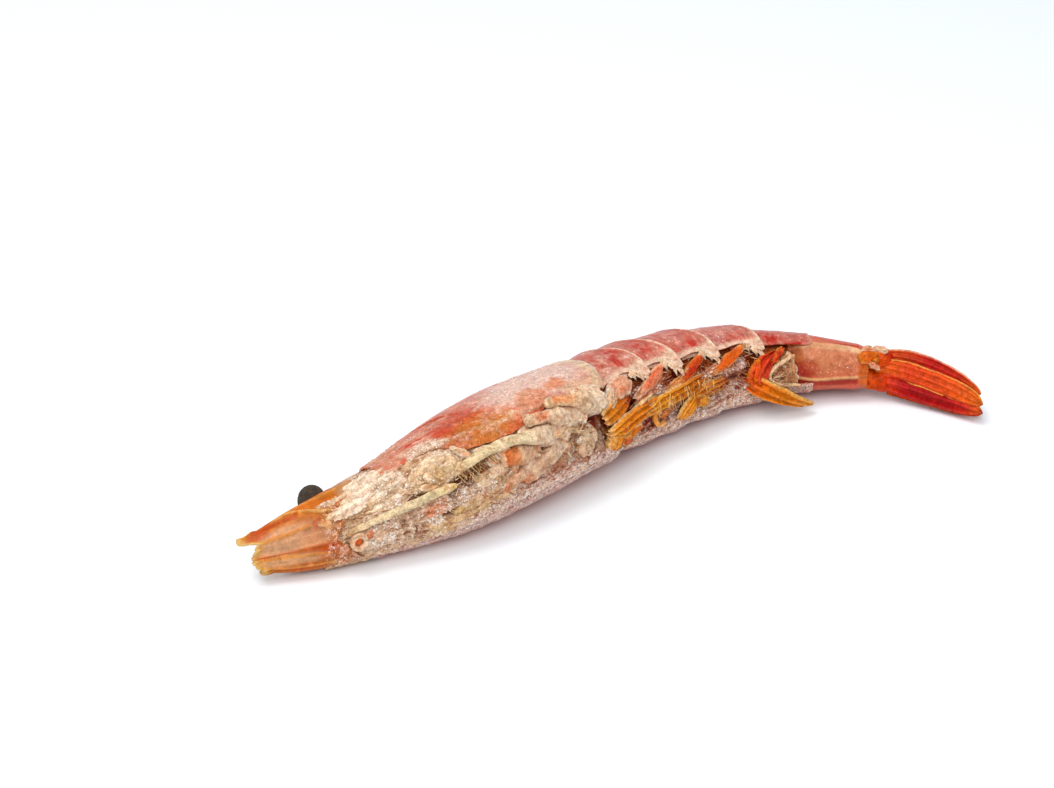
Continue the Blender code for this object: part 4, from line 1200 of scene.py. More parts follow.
def head_plate(side):
    left = side > 0
    u, v = grid(120, 130)
    inner, outer = (188.5, 72.0) if left else (182.0, 292.0)
    phi = inner + v * (outer - inner)
    scallops = np.abs(np.sin(np.radians(phi) * 13.0)) ** 0.7
    tip = smooth(PLATE_TIP, phi) - 0.7 * scallops * step(138, 146, phi)
    tip = tip + 0.25 * layered(xyz(phi * 0.25, 0.0, side), 1.2, 21)
    s = tip + u * (17.2 + 11.5 * v - tip)
    marks = LEFT_PLATE_MARKS if left else RIGHT_PLATE_MARKS
    colour, height, frost = painted(s, phi, rgb(200, 132, 74), marks, 22 + side, 0.6, 0.05)
    streaks = layered(xyz(s * 0.15, phi * 0.2 + 0.04 * s), 1.0, 25)
    clouds = layered(xyz(s * 0.6, phi * 0.2), 2.6, 26)
    colour = colour * (0.90 + 0.10 * streaks + 0.10 * clouds)[..., None]
    height = height + 0.06 * streaks + 0.05 * clouds
    from_tip = s - tip + 0.3 * clouds
    border = step(2.4, 0.5, from_tip) * step(84, 100, phi)
    outer_edge = step(0.96, 1.0, v)
    inner_edge = step(0.05, 0.0, v)
    colour = coated(
        colour,
        ((222, 186, 118), border * 0.75),
        ((238, 220, 170), step(0.8, 0.2, from_tip) * 0.6),
        ((236, 190, 126), outer_edge * 0.5),
        ((206, 104, 34), inner_edge * 0.6 * left),
    )
    icy = step(12.5, 17.5, s + clouds) * step(118, 140, phi) * step(262, 244, phi)
    frost = np.maximum(frost, icy * 0.8)
    curl = 0.45 * step(2.0, 0.4, from_tip)
    ridge = 0.25 * np.exp(-(((phi - 187) / 4.0) ** 2)) if left else -0.35 * inner_edge
    rise = height + curl + ridge - 0.15 * outer_edge
    thickness = 0.65 + 0.35 * step(1.8, 0.8, from_tip) * step(0.0, 0.5, from_tip)
    piece = Piece()
    piece.sheet(skin(s, phi, np.minimum(rise, 0.75)), skin(s, phi, rise - thickness), colour, frost)
    name = "left" if left else "right"
    return piece.finish("plate_" + name, SCALE_LOOK, "amber", "scale_" + name)


head_cover = head_shell()
segments = [segment_shell(number) for number in range(5)]
head_flesh = soft_body(
    "mouth_parts_and_flesh", FLESH_LOOK, 15.4, 82, (238, 216, 194), HEAD_MARKS, seed=7, coarse=3.4, ice=0.6
)
tail_flesh = soft_body(
    "belly_flesh", MEAT_LOOK, 81.7, 142.4, (170, 92, 58), TAIL_FLESH_MARKS, seed=8, coarse=2.6, ice=0.25
)
sixth = sixth_segment()
plates = [head_plate(1), head_plate(-1)]

# ---------- limbs under the head

BONE = (250, 242, 232)
YELLOW = (240, 234, 212)
ROSY = (230, 202, 184)

# Name, path as rows of (s, phi, rise, half thickness), colours along it, colour of a stripe with where it
# starts and ends, rims, and lumps as rows of (s, phi, rise, length, width, height, colour, turn, seed)
LEGS = (
    ("left_5",
     ((80, 154, -5, 2.2), (78.6, 154, -1.6, 2.8), (75.6, 151.5, 0.8, 2.4), (72.6, 148, 1.8, 1.45),
      (69, 145, 2.2, 1.25), (65.6, 142.5, 2.3, 1.2)),
     ((0, BONE), (0.45, (238, 222, 204)), (0.6, (240, 214, 188)), (1, (242, 222, 196))),
     ((232, 150, 100), 0.56, 0.95),
     ((0.42, 0.05, 0.14), (0.95, 0.04, 0.1)),
     ((79.2, 145, -0.4, 6.8, 4.4, 1.5, (248, 235, 221), -24, 201),
      (80.8, 152, -0.9, 5.6, 3, 1.6, (245, 231, 216), -60, 207),
      (80.6, 159, -2, 4.6, 3.4, 1.5, (241, 224, 209), 20, 202),
      (76.8, 140, -0.1, 4.6, 2.4, 0.9, (248, 234, 219), 10, 208))),
    ("left_4",
     ((72.5, 160, -5, 2.2), (71.2, 159, -1.6, 2.8), (68.4, 155.5, 0.3, 2.3), (65.4, 151.6, 1.1, 1.5),
      (62.6, 149.6, 1.5, 1.5), (59.6, 148, 1.7, 1.45)),
     ((0, BONE), (0.5, (236, 220, 206)), (1, (240, 220, 200))),
     ((230, 146, 108), 0.56, 0.91),
     ((0.48, 0.05, 0.16), (0.96, 0.05, 0.12)),
     ((72.6, 158, -1, 5.8, 4.6, 1.6, (245, 231, 218), 15, 203),
      (75.2, 161.5, -1.4, 4, 3.2, 1.4, (244, 227, 212), 50, 209),
      (71, 152.5, -0.1, 3.6, 2.4, 0.9, (245, 228, 215), -15, 210))),
    ("left_3",
     ((66, 168, -5, 2.1), (64.8, 167, -1.5, 2.8), (61.6, 162.5, 0.2, 2), (57.6, 158, 0.8, 1.4),
      (54, 155.6, 1, 1.35), (50, 154, 1, 1.3), (46, 155.2, 0.9, 1.2), (42.4, 157.4, 0.8, 1.05)),
     ((0, BONE), (0.28, (236, 222, 208)), (0.4, YELLOW), (0.8, (236, 228, 200)), (1, (230, 216, 186))),
     None, ((0.31, 0.05, 0.16), (0.62, 0.04, 0.08)),
     ((45.6, 142.5, -0.5, 5.6, 1.8, 0.7, (241, 221, 198), -52, 241),
      (50, 150.6, -0.7, 5, 1.6, 0.7, (241, 223, 203), -12, 242),
      (55.4, 152.6, -0.8, 6, 1.7, 0.7, (240, 218, 198), -4, 243),
      (61, 152, -0.8, 5.6, 2, 0.8, (243, 224, 206), 8, 244),
      (66, 167, -1, 7.6, 3.6, 1.6, (248, 235, 224), 12, 204),
      (69.6, 171.5, -1.6, 5, 3, 1.4, (243, 227, 212), 50, 211),
      (62.6, 162, 0, 4.4, 2.4, 1, (246, 235, 221), 8, 212))),
    ("left_2",
     ((60, 176, -5, 2), (58.6, 175, -1.8, 2.5), (55.6, 171, -0.6, 2.2), (52.2, 168.4, -0.1, 1.8)),
     ((0, ROSY), (0.55, (228, 200, 180)), (0.72, (226, 160, 120)), (0.93, (222, 130, 84)),
      (1, (238, 214, 190))),
     None, ((0.6, 0.07, 0.12), (0.97, 0.04, 0.1)),
     ((57.5, 170.5, -1.4, 7, 3.4, 1.6, (243, 224, 209), 16, 205),
      (53.4, 160, -0.7, 4.6, 2.6, 1.2, (245, 215, 195), 20, 213),
      (61.4, 176, -2, 5, 2.8, 1.4, (239, 218, 203), 45, 214),
      (51, 165.5, -1.2, 3.8, 2.2, 1.2, (243, 227, 209), -10, 215))),
    ("left_1",
     ((54, 184, -5, 1.7), (52, 182, -2.4, 1.9), (49, 179, -1.4, 1.6), (45.6, 177, -1, 1.25)),
     ((0, ROSY), (0.5, (224, 198, 176)), (1, (226, 204, 176))),
     None, ((0.6, 0.06, 0.14),),
     ((51.5, 176, -1.5, 6, 3.4, 1.5, (241, 223, 206), 12, 206),
      (55.6, 181, -1.8, 4.4, 2.6, 1.3, (239, 218, 200), 50, 216),
      (48, 182.5, -1.2, 4.6, 2.4, 1.3, (241, 225, 207), 0, 217))),
    ("right_5",
     ((76, 186, -5.4, 1.9), (75, 190, -2, 2.4), (73.6, 196, -0.9, 2.1), (71.8, 203, -0.9, 1.6)),
     ((0, BONE), (0.5, (230, 214, 194)), (1, (224, 198, 178))),
     None, ((0.55, 0.06, 0.14),),
     ((73.8, 196, -1.2, 6, 2.6, 1.3, (244, 230, 216), -60, 218),
      (77, 188, -2.2, 4.6, 2.6, 1.3, (240, 221, 203), -70, 219))),
    ("right_4",
     ((69, 180, -5.4, 1.9), (67.6, 182, -2, 2.3), (63.6, 189, -0.9, 1.9), (60, 196, -0.8, 1.6),
      (56.6, 201.4, -0.9, 1.3)),
     ((0, BONE), (0.5, (228, 206, 190)), (0.8, (226, 196, 178)), (1, (224, 160, 126))),
     None, ((0.5, 0.06, 0.12), (0.8, 0.05, 0.1)),
     ((68.2, 184, -1.8, 5, 3, 1.5, (244, 228, 215), -35, 220),
      (60.5, 196.5, -1, 4.4, 2.4, 1.1, (243, 224, 210), -30, 221))),
    ("right_3",
     ((63.5, 190, -5.4, 1.6), (61.6, 186, -2.4, 1.8), (56.6, 193, -1.2, 1.7), (51.6, 200.6, -1, 1.35)),
     ((0, BONE), (0.5, (230, 208, 194)), (0.85, (228, 190, 164)), (1, (224, 150, 110))),
     None, ((0.55, 0.06, 0.12),),
     ((63, 189.5, -1.8, 4.6, 2.8, 1.4, (243, 226, 212), -40, 222),
      (53, 199, -1.1, 4, 2.2, 1.1, (243, 218, 200), -30, 223))),
    ("right_2",
     ((56.5, 188, -5, 1.6), (55, 190, -2.4, 1.8), (51, 196, -1.4, 1.6), (46.8, 202.2, -1, 1.2)),
     ((0, ROSY), (0.6, (226, 204, 184)), (1, (222, 190, 150))),
     None, ((0.6, 0.06, 0.12),), ()),
    ("right_1",
     ((50, 192, -4.6, 1.5), (48.5, 193, -2.2, 1.7), (44.6, 196, -0.9, 1.5), (40.3, 200.2, -0.4, 1.2)),
     ((0, ROSY), (0.5, (222, 194, 172)), (1, (224, 202, 156))),
     None, ((0.6, 0.06, 0.12),), ()),
)


def walking_legs():
    for number, (name, path, tones, stripe, rims, lumps) in enumerate(LEGS):
        frost = 0.3 if "left" in name else 0.5
        forms = [(rod, path, tones, 0.82, stripe, rims, 0.14, frost, 120 + 7 * number, 96, 42)]
        for *size, colour, turn, seed in lumps:
            forms.append((lump, *size, colour, (252, 248, 244), turn, 0.2, 0.35, seed, (236, 192, 164)))
        build("walking_leg_" + name, LIMB_LOOK, "limb", forms, "leg_" + name)


def lumps_alike(rise, height, base, edge, rough, frost, tint, *rows):
    """Lumps that differ only in their rows of (s, phi, length, width, turn, seed)."""
    return [
        (lump, s, phi, rise, length, width, height, base, edge, turn, rough, frost, seed, tint)
        for s, phi, length, width, turn, seed in rows
    ]


def part_of_ring(s, phi, wide, high, rise, radius, angles):
    """The path of a limb curled into a ring on the body."""
    return [(s + wide * math.cos(a), phi + high * math.sin(a), rise, radius) for a in angles]


def mouth_legs():
    curled_end = (
        (36.4, 150, -0.5, 0.8), (34.8, 146, 0.1, 1.2), (36.2, 141, 0.3, 1.4), (40.0, 139.5, 0.3, 1.5),
        (42.8, 145, 0.3, 1.5), (42.2, 152, 0.2, 1.6), (39.0, 156, 0.2, 1.6), (35.6, 158, -0.1, 1.2),
    )
    tones = ((0, (226, 192, 156)), (0.4, (244, 226, 204)), (0.7, (238, 216, 188)), (1, (230, 200, 166)))
    folded = dict(arch=0.6, folds=1.4, ridge=0.22, thickness=0.8, crumple=0.35, rim_share=0.24, ragged=1.2,
                  frost=0.6)
    root = ((46, 150, -3, 1.2), (43.5, 150.5, -0.6, 1.2), (40.5, 152, 0.9, 0.9), (38, 153.5, 1.1, 0.75))
    build("mouth_leg_left", LIMB_LOOK, "limb", (
        (skin_leaf, curled_end, tones, (252, 244, 232), 210, 160, folded),
        *lumps_alike(
            -0.3, 1.0, (238, 214, 186), (250, 240, 226), 0.40, 0.5, (214, 172, 128),
            (38.6, 148, 4.6, 2.4, 20, 213), (43.4, 156, 4.6, 2.0, 20, 216), (37.6, 161, 6.0, 1.8, -8, 215),
            (34.6, 152, 3.4, 1.6, 70, 214),
        ),
        (rod, root, ((0, YELLOW), (1, (228, 206, 170))), 0.8, None, ((0.5, 0.06, 0.1),), 0.1, 0.5, 211, 80,
         40),
    ), "maxilliped_left")
    straight = (
        (19.6, 184, 0.3, 0.5), (21.2, 178.6, 0.8, 0.75), (24.5, 174.6, 1.0, 0.9), (30, 172.2, 1.0, 0.98),
        (36, 170.8, 0.8, 1.02), (41.6, 170.2, 0.6, 0.95),
    )
    tones = (
        (0, (234, 200, 164)), (0.14, (238, 226, 200)), (0.75, (236, 230, 206)), (0.93, (240, 230, 196)),
        (1, (236, 214, 164)),
    )
    rims = ((0.45, 0.02, 0.08), (0.94, 0.03, 0.14))
    build("mouth_leg_right", LIMB_LOOK, "limb", (
        (rod, straight, tones, 0.85, None, rims, 0.08, 0.3, 212, 120, 44),
    ), "maxilliped_right")


# Soft folds in front of the head shell: rows of (s, phi, rise, half width)
FACE_FOLDS = (
    ((16.4, 150, -0.6, 0.8), (19, 147, 0, 1.6), (22, 144, 0.1, 2), (25.4, 141, 0, 1.4), (28, 139, -0.4, 0.8)),
    ((20, 137, -0.5, 0.9), (22.8, 133, 0.1, 1.8), (26, 129, 0.2, 2.2), (29.5, 126, 0.1, 1.8),
     (33, 124, -0.2, 1)),
    ((20.5, 125, -0.5, 0.9), (23.5, 120, 0.1, 1.8), (27, 115, 0.1, 2.1), (31, 111, -0.2, 1.3)),
    ((24.5, 151, -0.5, 0.8), (26.5, 148, 0.1, 1.6), (29, 144, 0.1, 1.9), (31.6, 140, -0.1, 1.3),
     (33.6, 138, -0.5, 0.8)),
    ((24, 162, -0.7, 0.8), (27, 160, -0.1, 1.5), (30.6, 157, -0.1, 1.6), (33.8, 155, -0.6, 0.9)),
    ((33.6, 149, -0.6, 0.7), (33.2, 141, -0.1, 1.2), (33, 132, -0.1, 1.3), (33.4, 125, -0.5, 0.9)),
)


def feelers():
    tones = ((0, (236, 208, 176)), (0.3, (250, 236, 226)), (0.7, (252, 240, 234)), (1, (242, 220, 204)))
    folded = dict(folds=1.3, ridge=0.22, thickness=0.8, rim_share=0.20, ragged=1.4, frost=0.2, crumple=0.24)
    root = ((32.5, 152, -4.0, 2.3), (30.5, 145, -1.4, 2.3), (28.2, 134, -1.2, 1.9), (26.6, 129, -1.1, 1.6))
    build("feeler_base_left", LIMB_LOOK, "limb", (
        *((skin_leaf, path, tones, (252, 246, 238), 221 + k, 84, folded) for k,
          path in enumerate(FACE_FOLDS)),
        (lump, 16.8, 156, -0.7, 4.6, 2.6, 0.8, (232, 196, 160), None, -10, 0.3, 0.5, 241, (214, 150, 106)),
        (rod, root, ((0, ROSY), (1, (226, 204, 184))), 0.8, None, (), 0.25, 0.7, 222, 70, 40),
    ), "antenna_left")
    ring = part_of_ring(21.2, 195, 1.35, 8.6, 1.25, 0.62, np.linspace(0, 2 * math.pi, 13))
    tones = ((0, (246, 230, 214)), (0.5, (240, 212, 190)), (1, (246, 230, 214)))
    root = ((29.5, 197, -3.2, 2.0), (27.5, 197, -1.4, 2.2), (25.6, 197, -0.8, 2.0), (24.4, 196, -0.6, 1.6))
    build("feeler_base_right", LIMB_LOOK, "limb", (
        (lump, 22.8, 197, -0.6, 6.0, 4.6, 1.3, (236, 212, 194), (246, 232, 218), 10, 0.34, 0.6, 236,
         (228, 180, 154)),
        (rod, ring, tones, 0.9, None, (), 0.16, 0.4, 224, 90, 30),
        (lump, 21.2, 195, 0.7, 2.0, 1.9, 0.6, (222, 120, 76), None, 0, 0.15, 0.1, 237, (204, 84, 44)),
        (lump, 24.0, 191, -0.3, 3.4, 2.4, 1.1, (232, 186, 158), (244, 224, 208), 30, 0.25, 0.3, 238,
         (216, 140, 108)),
        (rod, root, ((0, ROSY), (1, (236, 214, 196))), 0.9, None, (), 0.3, 0.6, 239, 60, 36),
    ), "antenna_right")


def small_feelers():
    count, sides = 90, 36
    rows = ((22.4, 0.9, 1.4), (19.5, 0.8, 1.5), (17.0, 0.7, 1.45), (12.0, 0.5, 1.25), (7.0, 0.3, 0.8))
    tones = ((0, (222, 178, 140)), (0.5, (220, 140, 92)), (1, (206, 96, 40)))
    for name, to_left in (("left", 2.1), ("right", -2.1)):
        points = [local(s, to_left * (0.6 + 0.4 * (s - 7.0) / 15.0), to_back) for s, to_back, _ in rows]
        place, value, t = curve_through(points, [[radius] for _, _, radius in rows], count)
        _, across, outward = directions(place, np.array([[0.0, 0.0, 1.0]]) + np.zeros((count, 3)))
        a = round_angles(sides)[None, :, None]
        joints = 1 + 0.10 * np.cos(t * 2 * math.pi * 5) ** 8
        radius = value[:, 0] * 0.78 * joints * np.sqrt(np.clip(1 - (2 * np.abs(t - 0.5)) ** 14, 0.08, 1))
        out = across[:, None] * np.cos(a) + outward[:, None] * np.sin(a)
        rings = place[:, None] + out * radius[:, None, None]
        bumps = layered(rings, 0.9, 230)
        rings = rings + out * (0.06 * bumps)[..., None]
        tone = banded(tones, t, sides) * (1 + 0.2 * bumps)[..., None]
        piece = Piece()
        piece.tube(rings, tone, np.full(bumps.shape, 0.15))
        piece.finish("small_feeler_" + name, AMBER_LOOK, "limb", "antennule_" + name)


def toothed_spine():
    rows, columns = 180, 22
    s = np.linspace(13.5, 31.3, rows)
    teeth = np.zeros(rows)
    for k in range(7):
        tip = 29.3 - 2.2 * k
        rising = np.clip((tip + 1.3 - s) / 1.3, 0, 1) ** 1.6 * (s >= tip)
        falling = np.clip((s - tip + 0.35) / 0.35, 0, 1) * (s < tip)
        teeth = np.maximum(teeth, (1.25 - 0.10 * k) * (rising + falling))
    base = 10.0 + 0.05 * (32.0 - s)
    top = base + 0.75 + 0.04 * (31.3 - s) + teeth
    under = base + smooth(((13.5, 2.1), (16, 0.5), (22, -0.9), (28, -1.4), (31.3, -1.5)), s)
    under = np.minimum(under, top - 0.1)
    q = np.linspace(0, 1, columns)
    half = 0.58 * np.sqrt(np.clip(1 - np.abs(2 * q - 1) ** 2.6, 0.01, 1))[None]
    half = half * step(13.2, 16.5, s)[:, None] + 0.03
    high = under[:, None] + (top - under)[:, None] * q[None]
    ring_back = np.concatenate([high, high[:, ::-1]], 1)
    ring_left = np.concatenate([half, -half[:, ::-1]], 1)
    around = np.ones((1, 2 * columns))
    rings = local(s[:, None] * around, ring_left, ring_back)
    tones = ((0, (224, 160, 96)), (0.35, (214, 108, 48)), (0.8, (206, 98, 62)), (1, (206, 116, 92)))
    tone = stops(tones, (s[:, None] - 13.5) / 17.8 * around)
    tone = tone * (1 + 0.2 * layered(rings, 1.2, 240))[..., None]
    tone = coated(tone, ((236, 190, 140), step(0.9, 1.6, ring_back - base[:, None]) * 0.6))
    piece = Piece()
    piece.tube(rings, tone, 0.2 + 0.2 * layered(rings, 2.0, 241))
    piece.finish("toothed_spine", SCALE_LOOK, "shell", "rostrum")


def eyes():
    rows, sides = 60, 80
    tones = ((0, (214, 150, 116)), (0.7, (222, 178, 146)), (1, (196, 120, 90)))
    v = np.linspace(0.03, math.pi - 0.03, rows)[:, None]
    a = round_angles(sides)[None]
    t = np.linspace(0, 1, rows)
    size = 1.4 * (0.75 + 0.5 * t**2) * np.sqrt(np.clip(1 - (2 * np.abs(t - 0.5)) ** 12, 0.1, 1))
    for side, middle, radius, root in (
        ("left", local(18.6, 5.0, 7.2), 3.3, local(24.5, 3.0, 5.6)),
        ("right", local(16.8, -1.9, 5.7), 3.0, local(24.5, -2.6, 5.4)),
    ):
        ahead = (middle - root) / np.linalg.norm(middle - root)
        across = np.cross(ahead, [0.0, 0.0, 1.0])
        across /= np.linalg.norm(across)
        through = np.cross(ahead, across)
        out = (np.sin(v) * np.cos(a))[..., None] * across + (np.sin(v) * np.sin(a))[..., None] * through
        out = out + (np.cos(v) * np.ones_like(a))[..., None] * ahead
        dent = 0.10 * layered(out * 3, 1.6, 250) + 0.03 * grains(out * radius, 0.5, 251)
        points = middle + out * (radius * (1 - 0.06 * np.abs(np.cos(v)) ** 3) - 0.12 + dent)[..., None]
        ball = Piece()
        ball.tube(points, np.zeros(points.shape) + rgb(62, 52, 42), np.zeros(points.shape[:2]))
        ball.finish("eye_ball_" + side, EYE_LOOK, "eye", "eye_" + side)
        end = middle - ahead * (radius - 0.5)
        ring = across * np.cos(a.T) + through * np.sin(a.T)
        rings = (root + (end - root) * t[:, None])[:, None] + ring[None] * size[:, None, None]
        bumps = layered(rings, 1.0, 255)
        rings = rings + ring[None] * (0.1 * bumps)[..., None]
        tone = banded(tones, t, sides) * (1 + 0.2 * bumps)[..., None]
        stalk = Piece()
        stalk.tube(rings, tone, np.full(bumps.shape, 0.3))
        stalk.finish("eye_stalk_" + side, LIMB_LOOK, "limb", "stalk_" + side)


# ---------- swimming limbs

AMBER = (214, 136, 54)
HONEY = (234, 168, 94)
STRAW = (242, 202, 152)
BURNT = (190, 84, 26)
PALE_RIM = (244, 224, 186)
# A lump says (s, phi, rise, length, width, height, colour, colour of its edge, turn, roughness, frost,
# seed, tint), and a blade (path of (s, phi, rise, half width), colours along it, colour of its rim, seed)
SWIMMING_LIMBS = {
    "left_1": (
        (lump, 88.8, 150.5, -1, 7.6, 5, 1.5, (232, 186, 166), (248, 234, 222), 14, 0.22, 0.25, 301,
         (226, 146, 118)),
        (lump, 84.8, 158.5, -1.4, 4.8, 3, 1.3, (240, 220, 200), WHITE, 58, 0.4, 0.6, 302, (228, 190, 160)),
        (lump, 82.6, 164.5, -1.8, 4, 2, 1.2, (236, 208, 176), PALE_RIM, 66, 0.4, 0.5, 304, (206, 130, 80)),
        (skin_leaf,
         ((91.5, 163, -2.2, 1.2), (88.4, 167, -0.9, 1.9), (85, 171.5, -0.5, 2.2), (82.4, 175, -0.6, 2.1),
          (80.6, 178, -0.9, 1.5)),
         ((0, BURNT), (0.35, AMBER), (0.8, (206, 140, 66)), (1, STRAW)), PALE_RIM, 303,
         dict(arch=0.4, folds=2.6, ridge=0.34)),
    ),
    "left_2": (
        (lump, 99.2, 155, -0.7, 9.6, 2.5, 1.3, (226, 142, 116), (240, 196, 172), 24, 0.16, 0.2, 311,
         (222, 112, 78)),
        (skin_leaf,
         ((105, 151, -3, 1), (101, 159, -1.5, 1.5), (98, 164, -0.9, 1.8), (95, 168, -0.7, 1.6),
          (92.4, 171.6, -1, 0.9)),
         ((0, (206, 104, 72)), (0.5, (206, 132, 100)), (1, (222, 180, 156))), (232, 196, 172), 313,
         dict(frost=0.9)),
    ),
    "left_3": (
        (lump, 110.8, 158.5, -1, 11.4, 2.4, 1.3, (210, 96, 44), (224, 150, 104), 26, 0.16, 0.1, 321,
         (190, 54, 18)),
        (lump, 108.6, 163.5, -0.9, 8.5, 1.6, 1, (214, 140, 92), (236, 190, 150), 26, 0.25, 0.3, 322,
         (176, 74, 36)),
        (skin_leaf,
         ((115, 156, -3.2, 1), (112, 163, -1.4, 1.4), (108.6, 167.6, -0.8, 1.5), (105, 172, -0.8, 1.3),
          (102.4, 175.4, -1, 0.8)),
         ((0, BURNT), (0.4, (206, 122, 62)), (1, (222, 176, 130))), (232, 190, 148), 323,
         dict(ridge=0.22, frost=0.5)),
    ),
    "left_4": (
        (lump, 123, 157, -0.6, 10, 2.6, 1.4, (230, 122, 36), (232, 170, 120), 26, 0.16, 0.1, 331,
         (212, 76, 14)),
        (skin_leaf,
         ((128, 152, -3, 1), (125.4, 158, -1.6, 1.4), (121.6, 163, -1, 1.5), (118, 167, -0.9, 1.3),
          (115.4, 170, -1.1, 0.9)),
         ((0, (206, 106, 52)), (0.5, (206, 140, 112)), (1, (220, 176, 152))), (238, 206, 184), 333,
         dict(ridge=0.22, frost=0.95)),
    ),
    "left_5": (
        (skin_leaf,
         ((139.5, 149, -3, 0.9), (137, 156, -1, 1.2), (134.6, 165, -0.1, 1.6), (132.6, 175, 0.3, 2.2),
          (131, 185, 0.5, 2.7), (130.6, 194, 0.4, 2.6), (131.4, 199, 0, 1.8)),
         ((0, (180, 66, 20)), (0.35, (196, 72, 10)), (0.7, (204, 84, 12)), (1, (212, 116, 30))),
         (214, 128, 50), 343,
         dict(arch=0.6, folds=2.6, ridge=0.4, thickness=0.6, ragged=1.6, crumple=0.25)),
        (lump, 137.2, 160, -0.3, 5.4, 1.9, 1, (214, 104, 40), (232, 160, 96), 45, 0.25, 0.1, 341,
         (190, 50, 12)),
        (lump, 130.4, 178.5, 0.4, 5, 1.7, 0.9, (224, 104, 22), (236, 150, 60), 76, 0.2, 0.05, 342,
         (196, 52, 8)),
    ),
    "right_1": (
        (skin_leaf,
         ((92, 207, -3.2, 1.2), (89.4, 206, -1.1, 1.8), (86, 204, -0.4, 2), (82.8, 201, -0.3, 1.9),
          (80.4, 199, -0.7, 1.2)),
         ((0, (214, 140, 60)), (0.4, (236, 172, 92)), (0.8, (242, 172, 84)), (1, (246, 210, 160))),
         (248, 220, 168), 351,
         dict(arch=0.6, folds=3.4, ridge=0.5, ragged=1.4, frost=0.2)),
        *(
            (lump, s, phi, -0.2, length, width, 1.1, colour, (248, 216, 164), turn, 0.5, 0.25, seed,
             (198, 98, 42))
            for s, phi, length, width, turn, colour, seed in (
                (83.4, 208, 4.6, 2.6, 35, (240, 172, 92), 352),
                (86.8, 210, 4.6, 2.2, -25, (232, 150, 82), 353),
                (81.6, 204, 3.4, 2.2, 70, (244, 188, 118), 354),
                (89.6, 203, 4.4, 2, 30, (216, 138, 62), 355),
                (84.8, 197, 4.6, 1.8, 20, (226, 152, 66), 356),
            )
        ),
    ),
    "right_2": (
        (skin_leaf,
         ((103, 185, -3.4, 1.1), (100.6, 183.6, -1.2, 1.4), (96, 184.4, 0, 1.8), (90, 187.4, 0.35, 2.1),
          (85, 191.5, 0.3, 2.1), (81, 196, -0.2, 1.4)),
         ((0, BURNT), (0.3, (216, 140, 56)), (0.7, (230, 152, 62)), (0.9, (236, 170, 92)),
          (1, (244, 208, 156))),
         PALE_RIM, 361,
         dict(arch=0.45, folds=3, ridge=0.42, rim_share=0.14, ragged=0.8)),
        (lump, 92, 181.5, -0.2, 8, 1.3, 1, (232, 170, 110), PALE_RIM, 20, 0.3, 0.2, 362, (196, 104, 40)),
    ),
    "right_3": (
        (skin_leaf,
         ((117, 173, -3.2, 1), (114, 175, -1.2, 1.4), (109, 178.4, -0.3, 1.8), (103, 182, 0.1, 1.8),
          (97.6, 186.6, 0.2, 1.6), (93, 191, 0, 0.9)),
         ((0, BURNT), (0.35, (206, 132, 50)), (0.8, (224, 166, 76)), (1, STRAW)), PALE_RIM, 371,
         dict(arch=0.45, folds=3, ridge=0.4, rim_share=0.14, ragged=0.8, frost=0.3)),
        (rod, part_of_ring(99.4, 198, 2.6, 13, 0.1, 0.62, np.linspace(1.2, 5.4, 12)),
         ((0, STRAW), (0.5, HONEY), (1, (240, 200, 120))), 1, None, (), 0.2, 0.2, 372, 90, 30),
        (lump, 100.2, 198, -0.6, 3.6, 3, 1, (206, 130, 70), STRAW, 0, 0.4, 0.4, 373, (160, 60, 24)),
    ),
    "right_4": (
        (skin_leaf,
         ((124, 186, -3.6, 1.2), (120.6, 188, -1.4, 1.6), (115.6, 190, -0.7, 1.9), (111, 193, -0.5, 1.7),
          (108, 196, -0.8, 1)),
         ((0, (170, 80, 50)), (0.5, (214, 150, 84)), (1, (214, 146, 66))), (240, 206, 150), 381,
         dict(folds=3.4, ridge=0.4, frost=0.5)),
        (skin_leaf,
         ((110.4, 193, -0.9, 0.9), (108.6, 197, 0.2, 1.9), (106.8, 203, 0.5, 2.3), (105.8, 209, 0.3, 2),
          (105.6, 214, -0.3, 1.2)),
         ((0, AMBER), (0.3, (234, 166, 84)), (0.85, (240, 178, 108)), (1, HONEY)), (248, 220, 170), 382,
         dict(folds=5, ridge=0.42, thickness=0.4, frost=0.05, ragged=0.5)),
        (lump, 112.2, 201, -0.6, 6, 3, 1.1, (222, 160, 84), (244, 214, 150), -30, 0.4, 0.4, 383,
         (150, 66, 30)),
    ),
    "right_5": (
        (skin_leaf,
         ((127.6, 194, -2.6, 1.5), (129.6, 200, -0.2, 2.2), (133.4, 208, 1.9, 2.4), (137.6, 216, 3, 2.2),
          (141.6, 224, 3.6, 1.7), (146.6, 232.6, 3.9, 0.6)),
         ((0, BURNT), (0.15, (232, 120, 30)), (0.4, (222, 140, 40)), (0.7, (222, 150, 62)),
          (1, (224, 176, 116))),
         (240, 200, 136), 391,
         dict(folds=2.6, ridge=0.5, thickness=0.8, ragged=0.4)),
    ),
}


def swimming_limbs():
    for name, forms in SWIMMING_LIMBS.items():
        build("swimming_limb_" + name, AMBER_LOOK, "amber", forms, "swimmeret_" + name)


